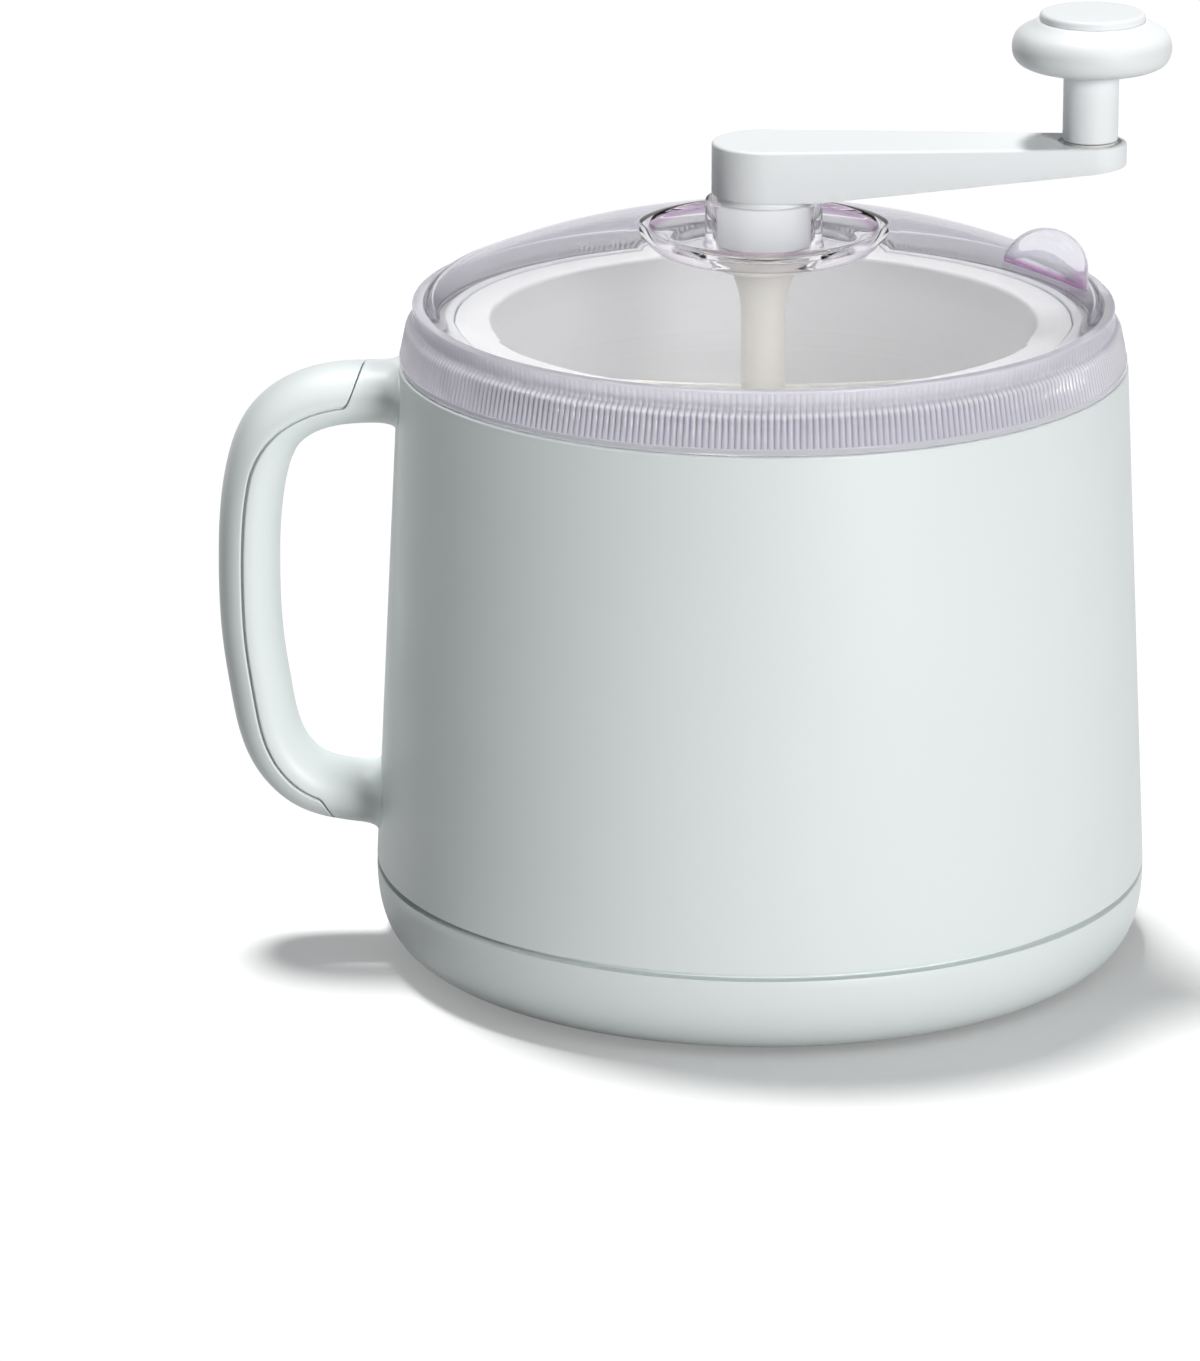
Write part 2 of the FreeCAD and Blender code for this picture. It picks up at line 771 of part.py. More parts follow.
def crank_plan(hub, tip, low, high):
    # Two rounds joined by their common tangents
    lean = math.asin((hub - tip) / crank_length)
    s, c = math.sin(lean), math.cos(lean)
    a, b = at(hub * s, hub * c, low), at(crank_length + tip * s, tip * c, low)
    d, e = at(hub * s, -hub * c, low), at(crank_length + tip * s, -tip * c, low)
    edges = [
        Part.makeLine(a, b), Part.Arc(b, at(crank_length + tip, 0, low), e).toShape(),
        Part.makeLine(e, d), Part.Arc(d, at(-hub, 0, low), a).toShape(),
    ]
    return Part.Face(Part.Wire(edges)).extrude(at(0, 0, high - low))


def under_slope():
    # Everything below the arm's sloping underside, out from the hub
    low = neck_end - hub_height
    points = [(hub_radius, low), (tip_end, low), (tip_end, crank_top - tip_height), (hub_radius, hub_bottom)]
    wire = Part.makePolygon([at(x, -2 * hub_radius, z) for x, z in points + points[:1]])
    return Part.Face(wire).extrude(at(0, 4 * hub_radius, 0))


def crank_arm():
    # A hollow arm with cross ribs; its neck turns in the lid's sleeve and sits on the dasher's hexagon
    arm = crank_plan(hub_radius, tip_radius, hub_bottom, crank_top)
    top_edges = [e for e in arm.Edges if min(v.Z for v in e.Vertexes) > crank_top - 0.01]
    arm = arm.makeFillet(crank_edge, top_edges)
    arm = arm.cut(under_slope())
    low = hub_bottom - join
    core = crank_plan(hub_radius - crank_wall, tip_radius - crank_wall, low, crank_top - crank_skin)
    crank_neck = sleeve_fit_radius - running_gap
    core = core.cut(cylinder(crank_neck, low, crank_top))
    core = core.cut(cylinder(pin_head_radius, low, crank_top, crank_length))
    pitch = (crank_length - hub_radius) / (crank_ribs + 1)
    for i in range(crank_ribs):
        corner = at(hub_radius + (i + 1) * pitch, -hub_radius, low)
        core = core.cut(Part.makeBox(crank_rib_wall, 2 * hub_radius, hub_height, corner))
    arm = arm.cut(core)
    arm = arm.fuse(cylinder(crank_neck, neck_end, hub_bottom + join))
    arm = arm.cut(hexagon(drive_flats + 2 * seat_gap, neck_end, collar_top + drive_height + join))
    arm = arm.cut(cylinder(knob_stem_radius + join, stem_seat, crank_top, crank_length))
    arm = arm.cut(cylinder(pin_head_radius + seat_gap, low, pin_seat, crank_length))
    return arm.cut(cylinder(pin_radius + running_gap, low, crank_top, crank_length)).removeSplitter()


def knob_spindle():
    # A riveted pin: its head seats under the arm, and the clip holds the knob on its end
    top = pocket_floor + seat_gap + clip_height + pin_end
    head = cylinder(pin_head_radius, pin_seat - pin_head_height, pin_seat, crank_length)
    head = head.makeFillet(pin_head_round, [head.Edges[2]])
    return head.fuse(cylinder(pin_radius, pin_seat, top, crank_length))


def spindle_washer():
    disc = cylinder(knob_stem_radius - washer_margin, stem_seat, stem_seat + washer_height, crank_length)
    return disc.cut(cylinder(pin_radius + running_gap, stem_seat, knob_bottom, crank_length))


def spindle_clip():
    low = pocket_floor + seat_gap
    disc = cylinder(clip_radius, low, low + clip_height, crank_length)
    return disc.cut(cylinder(pin_radius + running_gap, low, knob_top, crank_length))


def knob_grip():
    stem = knob_stem_radius
    mid = knob_disc_z + 0.48 * knob_height
    shoulder = cap_radius + cap_margin
    grip = turned([
        line((0, knob_bottom), (stem, knob_bottom)),
        line((stem, knob_bottom), (stem, knob_disc_z)),
        curve([(stem, knob_disc_z), (0.72 * knob_radius, knob_disc_z + 0.06 * knob_height),
               (0.95 * knob_radius, knob_disc_z + 0.22 * knob_height), (knob_radius, mid),
               (0.94 * knob_radius, knob_disc_z + 0.76 * knob_height),
               (shoulder + 1.5, knob_disc_z + 0.93 * knob_height), (shoulder, knob_top)]),
        line((shoulder, knob_top), (0, knob_top)),
        line((0, knob_top), (0, knob_bottom)),
    ])
    grip.translate(at(crank_length, 0, 0))
    grip = grip.cut(cylinder(pin_radius + running_gap, knob_bottom, knob_top, crank_length))
    return grip.cut(cylinder(pocket_radius, pocket_floor, knob_top, crank_length))


def knob_cap():
    disc = cylinder(cap_radius, knob_top, knob_top + cap_height, crank_length)
    disc = disc.makeFillet(0.45 * cap_height, [disc.Edges[0]])
    plug = cylinder(pocket_radius - seat_gap, knob_top - cap_plug, knob_top, crank_length)
    return disc.fuse(plug)


NODES = {
    "housing_shell": housing_shell,
    "handle_cover": handle_cover,
    "housing_liner": housing_liner,
    "insulation_foam": insulation_foam,
    "base_cover": base_cover,
    "base_screws": base_screws,
    "base_pads": base_pads,
    "rim_gasket": rim_gasket,
    "cylinder_inner_can": cylinder_inner_can,
    "cylinder_outer_can": cylinder_outer_can,
    "refrigerant_fill": refrigerant_fill,
    "cylinder_rim": cylinder_rim,
    "fill_plug": fill_plug,
    "pivot_cup": pivot_cup,
    "grip_ring": grip_ring,
    "lid": lid,
    "lid_gasket": lid_gasket,
    "dasher": dasher,
    "crank_arm": crank_arm,
    "knob_spindle": knob_spindle,
    "spindle_washer": spindle_washer,
    "spindle_clip": spindle_clip,
    "knob_grip": knob_grip,
    "knob_cap": knob_cap,
}

os.makedirs("parts", exist_ok=True)
for name, make in NODES.items():
    shape = make()
    solids = len(shape.Solids)
    shape.exportStep("parts/" + name + ".step")
    print(name, solids, "solid(s)", round(shape.Volume), "mm3", "valid" if shape.isValid() else "NOT VALID")
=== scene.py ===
import json
import math
import bmesh
import bpy
import numpy as np
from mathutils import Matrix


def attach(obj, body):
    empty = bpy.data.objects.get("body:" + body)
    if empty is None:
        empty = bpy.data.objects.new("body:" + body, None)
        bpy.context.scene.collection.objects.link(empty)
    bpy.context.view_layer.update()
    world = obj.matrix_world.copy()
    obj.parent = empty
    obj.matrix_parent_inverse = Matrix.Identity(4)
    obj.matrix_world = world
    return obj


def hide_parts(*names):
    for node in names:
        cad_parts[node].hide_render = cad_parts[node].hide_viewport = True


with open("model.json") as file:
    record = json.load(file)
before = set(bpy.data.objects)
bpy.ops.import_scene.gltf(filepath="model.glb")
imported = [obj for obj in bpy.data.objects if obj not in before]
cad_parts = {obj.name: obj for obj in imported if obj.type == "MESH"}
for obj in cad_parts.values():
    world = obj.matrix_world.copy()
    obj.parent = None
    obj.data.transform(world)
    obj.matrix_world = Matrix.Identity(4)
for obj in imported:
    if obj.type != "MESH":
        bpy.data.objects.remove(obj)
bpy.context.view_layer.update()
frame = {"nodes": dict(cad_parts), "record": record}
mm = 0.001  # the shapes below are in mm, the scene is in metres
sharpFrom = 38  # degrees: an edge between faces that turn by more stays sharp
nearPoints, shortEdge = 2e-6, 1e-7  # metres: nearer points merge, and shorter edges go


def addObject(name, data):
    made = bpy.data.objects.new(name, data)
    bpy.context.scene.collection.objects.link(made)
    return made


def cleaned(mesh, sharp=sharpFrom):
    # Double points are merged, and faces turned outwards
    work = bmesh.new()
    work.from_mesh(mesh)
    bmesh.ops.remove_doubles(work, verts=work.verts, dist=nearPoints)
    bmesh.ops.dissolve_degenerate(work, edges=work.edges, dist=shortEdge)
    bmesh.ops.recalc_face_normals(work, faces=work.faces)
    work.to_mesh(mesh)
    work.free()
    mesh.shade_smooth()
    mesh.set_sharp_from_angle(angle=math.radians(sharp))
    return mesh


def meshObject(name, points, faces, sharp=sharpFrom):
    # Points and quads go in as whole arrays
    mesh = bpy.data.meshes.new(name)
    mesh.vertices.add(len(points))
    mesh.vertices.foreach_set("co", (points * mm).astype(np.float32).ravel())
    mesh.loops.add(faces.size)
    mesh.loops.foreach_set("vertex_index", faces.astype(np.int32).ravel())
    mesh.polygons.add(len(faces))
    starts = np.arange(0, faces.size, faces.shape[1], dtype=np.int32)
    mesh.polygons.foreach_set("loop_start", starts)
    mesh.update(calc_edges=True)
    return addObject(name, cleaned(mesh, sharp))


def gridFaces(rows, columns, wrapRows, wrapColumns, start=0):
    # Each cell of the grid is one quad, and a wrapped side joins its last line to its first
    index = start + np.arange(rows * columns).reshape(rows, columns)
    if wrapRows:
        index = np.vstack([index, index[:1]])
    if wrapColumns:
        index = np.hstack([index, index[:, :1]])
    return np.stack([index[:-1, :-1], index[1:, :-1], index[1:, 1:], index[:-1, 1:]], -1).reshape(-1, 4)


def gridObject(name, grids, wrapRows=True, wrapColumns=True, sharp=sharpFrom):
    # Several grids in one mesh: the faces of each start where the points of the one before end
    starts = np.cumsum([0] + [grid.shape[0] * grid.shape[1] for grid in grids])
    faces = [gridFaces(*grid.shape[:2], wrapRows, wrapColumns, start) for grid, start in zip(grids, starts)]
    return meshObject(name, np.vstack([grid.reshape(-1, 3) for grid in grids]), np.vstack(faces), sharp)


def paintedLightOn(piece, values):
    # A share from 0 to 1 of painted light at each point, which the clear finishes read: painted shade in
    # the ring's rib valleys and painted refraction lines on the lid and fin
    layer = piece.data.attributes.new("paintedLight", "FLOAT", "POINT")
    layer.data.foreach_set("value", values.astype(np.float32).ravel())


def pointsOf(mesh):
    points = np.empty(3 * len(mesh.vertices), np.float32)
    mesh.vertices.foreach_get("co", points)
    return points.reshape(-1, 3)


def capped(grid):
    # One more row at each end, gathered at the middle of the end row, closes the form
    first, last = [np.broadcast_to(row.mean(axis=0), row.shape)[None] for row in (grid[0], grid[-1])]
    return np.concatenate([first, grid, last])


def outline(*corners, steps=7):
    # Each corner is (r, z, radius). A radius turns it into a curve that leaves one side and
    # meets the other: (1-t)^2 A + 2t(1-t) K + t^2 B, with A and B at that distance from corner K
    points = np.array([corner[:2] for corner in corners], float)
    radii = [corner[2] if len(corner) > 2 else 0 for corner in corners]
    line = []
    for i, radius in enumerate(radii):
        here, before, after = points[i], points[i - 1], points[(i + 1) % len(points)]
        if radius == 0:
            line.append(here[None])
            continue
        start = here + (before - here) * radius / np.linalg.norm(before - here)
        end = here + (after - here) * radius / np.linalg.norm(after - here)
        t = np.linspace(0, 1, steps)[:, None]
        line.append((1 - t) ** 2 * start + 2 * t * (1 - t) * here + t ** 2 * end)
    return np.vstack(line)


def splineThrough(points, count):
    # A natural cubic spline in the chord length: the second slopes M solve
    # h0 M0 + 2 (h0 + h1) M1 + h1 M2 = 6 (step1 - step0), with M = 0 at both ends
    p = np.array(points, float)
    chord = np.linalg.norm(np.diff(p, axis=0), axis=1)
    at = np.concatenate([[0], np.cumsum(chord)])
    n = len(p)
    matrix = np.eye(n)
    inner = np.arange(1, n - 1)
    matrix[inner, inner - 1] = chord[:-1]
    matrix[inner, inner] = 2 * (chord[:-1] + chord[1:])
    matrix[inner, inner + 1] = chord[1:]
    rise = np.diff(p, axis=0) / chord[:, None]
    right = np.zeros_like(p)
    right[1:-1] = 6 * np.diff(rise, axis=0)
    bend = np.linalg.solve(matrix, right)
    u = np.linspace(0, at[-1], count)
    k = np.clip(np.searchsorted(at, u, side="right") - 1, 0, n - 2)
    h, a, b = chord[k][:, None], (at[k + 1] - u)[:, None], (u - at[k])[:, None]
    cubic = (bend[k] * a ** 3 + bend[k + 1] * b ** 3) / (6 * h)
    return cubic + (p[k] / h - bend[k] * h / 6) * a + (p[k + 1] / h - bend[k + 1] * h / 6) * b


def easeIn(value, start, end):
    # 3 t^2 - 2 t^3 between start and end
    t = np.clip((value - start) / (end - start), 0, 1)
    return t * t * (3 - 2 * t)


def hexRadius(angle, flats):
    # Distance from the axis to the side of a hexagon: half the flats / cos(angle from the nearest flat)
    sixth = math.pi / 3
    return flats / 2 / np.cos((angle + sixth / 2) % sixth - sixth / 2)


def roundAxis(angle, r, z, centre=(0.0, 0.0)):
    # x = r cos a and y = r sin a, from a centre
    return np.stack([r * np.cos(angle) + centre[0], r * np.sin(angle) + centre[1], z + 0 * angle], -1)


def rotated(x, y, degrees):
    # x' = x cos a - y sin a and y' = x sin a + y cos a
    turn = math.radians(degrees)
    return x * math.cos(turn) - y * math.sin(turn), x * math.sin(turn) + y * math.cos(turn)


def turnedGrid(profile, segments=256, centre=(0.0, 0.0), hexFlats=None):
    # The profile (r, z) goes round an upright axis. Where hexFlats holds a width for a point of
    # the profile, r there follows a hexagon of that width
    angle = np.linspace(0, 2 * np.pi, segments, endpoint=False)[:, None]
    r, z = profile[None, :, 0] + 0 * angle, profile[None, :, 1]
    if hexFlats is not None:
        r = np.where(hexFlats > 0, hexRadius(angle, np.maximum(hexFlats, 1e-6)), r)
    return roundAxis(angle, r, z, centre)


def turned(name, profile, segments=256, centre=(0.0, 0.0), closed=True, sharp=sharpFrom, hexFlats=None):
    return gridObject(name, [turnedGrid(profile, segments, centre, hexFlats)], True, closed, sharp)


def around(count, radius, phase=0.0):
    angle = np.radians(phase + 360 * np.arange(count) / count)
    return np.stack([radius * np.cos(angle), radius * np.sin(angle)], 1)


def shapeOf(piece):
    # The mesh that a piece's modifiers, or its curve's own thickness, give
    bpy.context.view_layer.update()
    return bpy.data.meshes.new_from_object(piece.evaluated_get(bpy.context.evaluated_depsgraph_get()))


def carve(piece, tools):
    # The tools are cut from the piece, and are then taken away
    for tool in tools:
        change = piece.modifiers.new(tool.name, "BOOLEAN")
        change.operation = "DIFFERENCE"
        change.solver = "EXACT"
        change.object = tool
    mesh = shapeOf(piece)
    piece.modifiers.clear()
    piece.data = mesh
    mesh.set_sharp_from_angle(angle=math.radians(sharpFrom))
    for tool in tools:
        bpy.data.objects.remove(tool)


def linear(red, green, blue):
    # From the 0 to 255 values of a screen to the light that they stand for
    c = np.array([red, green, blue]) / 255
    return tuple(np.where(c <= 0.04045, c / 12.92, ((c + 0.055) / 1.055) ** 2.4)) + (1.0,)


def feed(tree, node, inputs):
    # Each input takes a fixed value, or a link from another node's output
    for key, value in inputs.items():
        if isinstance(value, bpy.types.NodeSocket):
            tree.links.new(value, node.inputs[key])
        else:
            node.inputs[key].default_value = value


def addNode(tree, kind, inputs, **settings):
    node = tree.nodes.new(kind)
    for setting, value in settings.items():
        setattr(node, setting, value)
    feed(tree, node, inputs)
    return node.outputs


def newFinish(name):
    finish = bpy.data.materials.new(name)
    finish.use_nodes = True
    tree = finish.node_tree
    return finish, tree, tree.nodes["Principled BSDF"], addNode(tree, "ShaderNodeTexCoord", {})["Object"]


def noiseAt(tree, place, scale, detail=3.0):
    return addNode(tree, "ShaderNodeTexNoise", {"Vector": place, "Scale": scale, "Detail": detail})["Fac"]


def spread(tree, value, low, high):
    # Noise stays near its middle, so 0.3 to 0.7 of it fills the range
    return addNode(tree, "ShaderNodeMapRange", {
        "Value": value, "From Min": 0.3, "From Max": 0.7, "To Min": low, "To Max": high})["Result"]


def blendColours(tree, value, first, second, kind="MIX"):
    return addNode(tree, "ShaderNodeMix", {"Factor": value, "A": first, "B": second},
                   data_type="RGBA", blend_type=kind)["Result"]


def bump(tree, height, strength, distance):
    return addNode(tree, "ShaderNodeBump", {
        "Height": height, "Strength": strength, "Distance": distance})["Normal"]


plastic = {
    "cloudScale": 14, "glossScale": 55, "unevenness": 0.08, "skinDepth": 0.0001, "bending": 1.5,
    "clearGlossScale": 40, "clearSkin": 60, "clearSkinDepth": 0.0002, "clearBending": 1.49,
}


def mouldedPlastic(name, colour, shade, roughness, skin, relief):
    # Opaque moulding: a faint cloudiness in the colour, uneven gloss and a very fine skin
    finish, tree, shader, place = newFinish(name)
    p = plastic
    cloud = spread(tree, noiseAt(tree, place, p["cloudScale"]), 0, 1)
    gloss = noiseAt(tree, place, p["glossScale"])
    low, high = roughness * (1 - p["unevenness"]), roughness * (1 + p["unevenness"])
    feed(tree, shader, {
        "Base Color": blendColours(tree, cloud, linear(*colour), linear(*shade)),
        "Roughness": spread(tree, gloss, low, high), "IOR": p["bending"],
        "Normal": bump(tree, noiseAt(tree, place, skin, 2), relief, p["skinDepth"])})
    return finish


def clearPlastic(name, look):
    # Clear moulding: it takes up a little light along its depth, is coloured by the slant colour where it
    # is seen along its wall, and has the look's line colour painted in where the piece's own attribute says
    # so: painted shade in the ring's rib valleys, painted refraction lines on the lid and fin
    finish, tree, shader, place = newFinish(name)
    p = plastic
    facing = addNode(tree, "ShaderNodeLayerWeight", {"Blend": 0.5})["Facing"]
    along = addNode(tree, "ShaderNodeMapRange", {"Value": facing, "From Min": look["slantFrom"]},
                    interpolation_type="SMOOTHSTEP")["Result"]
    body = blendColours(tree, along, linear(*look["colour"]), linear(*look["slant"]))
    # The attribute's share mixes in the look's line colour, which is painted light: painted shade on the
    # ring, painted refraction lines on the lid and fin
    paintedLight = addNode(tree, "ShaderNodeAttribute", {}, attribute_name="paintedLight")["Fac"]
    line = blendColours(tree, paintedLight, (1, 1, 1, 1), linear(*look["line"]))
    gloss = noiseAt(tree, place, p["clearGlossScale"])
    feed(tree, shader, {
        "Base Color": blendColours(tree, 1.0, body, line, "MULTIPLY"),
        "Transmission Weight": look.get("clearness", 1.0), "IOR": look.get("bending", p["clearBending"]),
        "Roughness": spread(tree, gloss, look["roughness"], 2 * look["roughness"]),
        "Normal": bump(tree, noiseAt(tree, place, p["clearSkin"], 1), look["relief"], p["clearSkinDepth"])})
    depth = addNode(tree, "ShaderNodeVolumeAbsorption", {
        "Color": linear(*look["depth"]), "Density": look["density"]})
    feed(tree, tree.nodes["Material Output"], {"Volume": depth["Volume"]})
    return finish


def spunMetal(name, look):
    # Drawn metal: fine rings round the axis, from noise on (distance from the axis, height)
    finish, tree, shader, place = newFinish(name)
    height = addNode(tree, "ShaderNodeSeparateXYZ", {"Vector": place})["Z"]
    flat = addNode(tree, "ShaderNodeVectorMath", {0: place, 1: (1, 1, 0)}, operation="MULTIPLY")["Vector"]
    far = addNode(tree, "ShaderNodeVectorMath", {0: flat}, operation="LENGTH")["Value"]
    lines = addNode(tree, "ShaderNodeCombineXYZ", {"X": far, "Y": height})["Vector"]
    cloud = noiseAt(tree, lines, look["lines"], 2.0)
    feed(tree, shader, {
        "Base Color": blendColours(tree, cloud, linear(*look["colour"]), linear(*look["shade"])),
        "Roughness": spread(tree, cloud, look["roughness"], look["roughness"] + 0.1),
        "Metallic": look.get("metal", 1.0), "Normal": bump(tree, cloud, 0.1, 0.00005)})
    return finish


moulded = {
    # Name, colour, shade, roughness, the scale of the skin's noise and its relief
    "white_housing": ("satinHousingWhite", (230, 237, 236), (228, 235, 234), 0.46, 420, 0.02),
    "white_crank": ("satinCrankWhite", (236, 239, 240), (234, 237, 238), 0.52, 420, 0.02),
    "dasher_plastic": ("dasherWhite", (240, 238, 232), (236, 233, 226), 0.4, 420, 0.02),
    "rim_plastic": ("rimWhite", (238, 240, 241), (234, 236, 238), 0.4, 420, 0.02),
    "liner_plastic": ("linerWhite", (232, 234, 236), (228, 230, 233), 0.42, 420, 0.02),
    "washer_plastic": ("washerNatural", (225, 224, 220), (217, 216, 212), 0.5, 420, 0.03),
    "foam": ("foamFill", (232, 220, 190), (221, 207, 172), 0.9, 1500, 0.6),
    "cooling_fill": ("coolingGel", (205, 218, 230), (190, 208, 224), 0.3, 300, 0.05),
    "pad_rubber": ("padGrey", (186, 188, 190), (174, 176, 179), 0.75, 1800, 0.3),
    "seal_rubber": ("sealPale", (222, 223, 224), (214, 215, 217), 0.7, 1500, 0.1),
}
finishes = {slot: mouldedPlastic(*look) for slot, look in moulded.items()}
finishes.update({
    "seal_clear": clearPlastic("sealMilky", {
        "colour": (245, 245, 248), "slant": (225, 222, 232), "slantFrom": 0.5, "line": (200, 200, 210),
        "depth": (222, 214, 226), "density": 20, "roughness": 0.15, "relief": 0.05}),
    "clear_ring": clearPlastic("clearRing", {
        # The line colour is painted shade, laid in the rib valleys
        "colour": (255, 255, 255), "slant": (249, 245, 253), "slantFrom": 0.5, "line": (188, 184, 206),
        "depth": (236, 228, 240), "density": 6, "clearness": 0.58, "bending": 1.3, "roughness": 0.04,
        "relief": 0.02}),
    "clear_lid": clearPlastic("clearLid", {
        # The line colour is a painted refraction line at the dish's edge
        "colour": (255, 255, 255), "slant": (128, 126, 150), "slantFrom": 0.5, "line": (214, 160, 206),
        "depth": (230, 220, 230), "density": 10, "bending": 1.08, "roughness": 0.01, "relief": 0.02}),
    "clear_fin": clearPlastic("clearFin", {
        # The line colour is a painted refraction line at the fin's root
        "colour": (240, 240, 246), "slant": (216, 212, 226), "slantFrom": 0.3, "line": (216, 166, 208),
        "depth": (226, 214, 228), "density": 40, "clearness": 0.85, "bending": 1.35, "roughness": 0.03,
        "relief": 0.02}),
    "can_aluminium": spunMetal("drawnAluminium", {
        "colour": (250, 250, 251), "shade": (243, 244, 245), "roughness": 0.5, "lines": 900,
        "metal": 0.35}),
    "steel": spunMetal("platedSteel", {
        "colour": (196, 197, 200), "shade": (178, 179, 182), "roughness": 0.3, "lines": 1500}),
})
print("finishes ready")


def dress(piece, slot):
    piece.data.materials.clear()
    piece.data.materials.append(finishes[slot])


def fit(piece, body, slot, *replaced):
    # The piece rides on a body, takes its finish, and stands for the solids that it replaces
    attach(piece, body)
    if replaced:
        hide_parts(*replaced)
    dress(piece, slot)
    return piece


housing = {
    "lowRadius": 100.5, "lowZ": 24.0, "highRadius": 93.98, "highZ": 156.9, "wall": 2.5,
    "neckRadius": 88.98, "neckInner": 86.5, "neckTop": 160.0, "segments": 384,
    "lugs": 4, "lugReach": 90.4, "lugHeight": 1.4, "lugAngle": 16.0, "lugPhase": 290.0,
    "linerRadius": 83.5, "linerOuter": 85.5, "linerTop": 161.6, "linerUnder": 36.1, "linerFloor": 38.6,
    "linerRadius": 83.5, "linerOuter": 85.5, "linerTop": 161.6, "linerUnder": 36.1, "linerFloor": 38.6,
    "sealTop": 162.5, "sealGap": 0.02, "posts": 4, "postCircle": 50.0, "postRadius": 4.5,
    "postEnd": 6.7, "postBore": 1.48, "boreTop": 20.7,
}


def wallRadius(z):
    share = (z - housing["lowZ"]) / (housing["highZ"] - housing["lowZ"])
    return housing["lowRadius"] + (housing["highRadius"] - housing["lowRadius"]) * share


def makeShell():
    h = housing
    inset = h["wall"]
    profile = outline(
        (h["lowRadius"], h["lowZ"], 0.4), (h["highRadius"], h["highZ"], 0.7),
        (h["neckRadius"], h["highZ"], 0.3), (h["neckRadius"], h["neckTop"], 0.4),
        (h["neckInner"], h["neckTop"], 0.4), (h["neckInner"], h["highZ"] - inset),
        (h["highRadius"] - inset, h["highZ"] - inset), (h["lowRadius"] - inset, h["lowZ"]))
    fit(turned("housing_wall", profile, h["segments"]), "housing", "white_housing", "housing_shell")


def makeLugs():
    # Four short lugs on the neck: a rounded section carried through a few degrees and closed
    h = housing
    low, root = h["neckTop"] - h["lugHeight"], h["neckRadius"] - 1
    section = outline((root, low), (h["lugReach"], low, 0.25), (h["lugReach"], h["neckTop"], 0.25),
                      (root, h["neckTop"]), steps=4)
    grids = []
    for start in h["lugPhase"] + 360 / h["lugs"] * np.arange(h["lugs"]):
        angle = np.radians(start + np.linspace(0, h["lugAngle"], 13))[:, None]
        grids.append(capped(roundAxis(angle, section[None, :, 0], section[None, :, 1])))
    fit(gridObject("neck_lugs", grids, False), "housing", "white_housing")


def makeLiner():
    h = housing
    cup = outline(
        (0, h["linerUnder"]), (h["linerOuter"], h["linerUnder"], 3.0), (h["linerOuter"], h["neckTop"]),
        (h["neckRadius"], h["neckTop"]), (h["neckRadius"], h["linerTop"], 0.3),
        (h["linerRadius"], h["linerTop"], 0.3), (h["linerRadius"], h["linerFloor"], 3.0),
        (0, h["linerFloor"]))
    fit(turned("liner_cup", cup, closed=False), "housing", "liner_plastic", "housing_liner")
    joint = h["linerUnder"] + 0.5
    post = outline((h["postBore"], h["postEnd"]), (h["postRadius"], h["postEnd"], 0.3),
                   (h["postRadius"], joint), (0, joint), (0, h["boreTop"]), (h["postBore"], h["boreTop"]),
                   steps=3)
    grids = [turnedGrid(post, 32, place) for place in around(h["posts"], h["postCircle"])]
    fit(gridObject("liner_posts", grids), "housing", "liner_plastic")
    inner, low = h["linerRadius"] + h["sealGap"], h["linerTop"] + h["sealGap"]
    seal = outline((inner, low), (h["neckRadius"], low, 0.3), (h["neckRadius"], h["sealTop"], 0.4),
                   (inner, h["sealTop"], 0.4), steps=4)
    fit(turned("rim_seal", seal), "housing", "seal_rubber", "rim_gasket")


base = {
    "flat": 80.0, "height": 22.6, "fullness": 0.73, "wall": 3.0, "spigot": 97.7, "spigotWall": 2.5,
    "spigotTop": 27.0, "recessDepth": 1.2, "recessInner": 24.0, "recessOuter": 62.0, "edge": 0.5,
    "screwSeat": 4.0, "screwDepth": 3.7, "pads": 4, "padCircle": 71.0, "padRadius": 6.0,
    "padDepth": 2.0, "padGap": 0.3, "padPhase": 45.0, "wellSegments": 48, "wellStart": -2,
}


def footCurve(flat, side, low, high, count=26):
    # Cubic Bezier: level at the flat underside, upright at the seam
    t = np.linspace(0, 1, count)[:, None]
    poles = np.array([(flat, low), (flat + base["fullness"] * (side - flat), low),
                      (side, high - base["fullness"] * (high - low)), (side, high)])
    weights = np.hstack([(1 - t) ** 3, 3 * t * (1 - t) ** 2, 3 * t ** 2 * (1 - t), t ** 3])
    return weights @ poles


def makeBase():
    b, side = base, housing["lowRadius"]
    inner = b["spigot"] - b["spigotWall"]
    floor = b["wall"] + b["recessDepth"]
    profile = np.vstack([
        outline((0, 0), (b["recessInner"], 0, 0.4), (b["recessInner"], b["recessDepth"], 0.3),
                (b["recessOuter"], b["recessDepth"], 0.3), (b["recessOuter"], 0, 0.4), (b["flat"], 0))[:-1],
        footCurve(b["flat"], side, 0, b["height"] - b["edge"]),
        [(side - 0.12, b["height"] - 0.16), (side - b["edge"], b["height"])],
        [(b["spigot"], b["height"]), (b["spigot"], b["spigotTop"]), (inner, b["spigotTop"])],
        footCurve(b["flat"], inner, floor, b["height"] - b["wall"], 12)[::-1],
        [(0, floor)],
    ])
    cup = turned("base_cup", profile, housing["segments"], closed=False)
    screws = around(housing["posts"], housing["postCircle"])
    pads = around(b["pads"], b["padCircle"], b["padPhase"])
    wells = [(b["screwSeat"], b["screwDepth"], place) for place in screws]
    wells += [(b["padRadius"] + b["padGap"], b["padDepth"], place) for place in pads]
    start, segments = b["wellStart"], b["wellSegments"]
    tools = [turned("well", np.array([(0, start), (radius, start), (radius, depth), (0, depth)]),
                    segments, place, False) for radius, depth, place in wells]
    carve(cup, tools)
    fit(cup, "housing", "white_housing", "base_cover")
    pad = outline((0, 0.0), (b["padRadius"], 0.0, 0.5), (b["padRadius"], b["padDepth"] - 0.02),
                  (0, b["padDepth"] - 0.02))
    grids = [turnedGrid(pad, segments, place) for place in pads]
    fit(gridObject("foot_pads", grids, True, False), "housing", "pad_rubber", "base_pads")


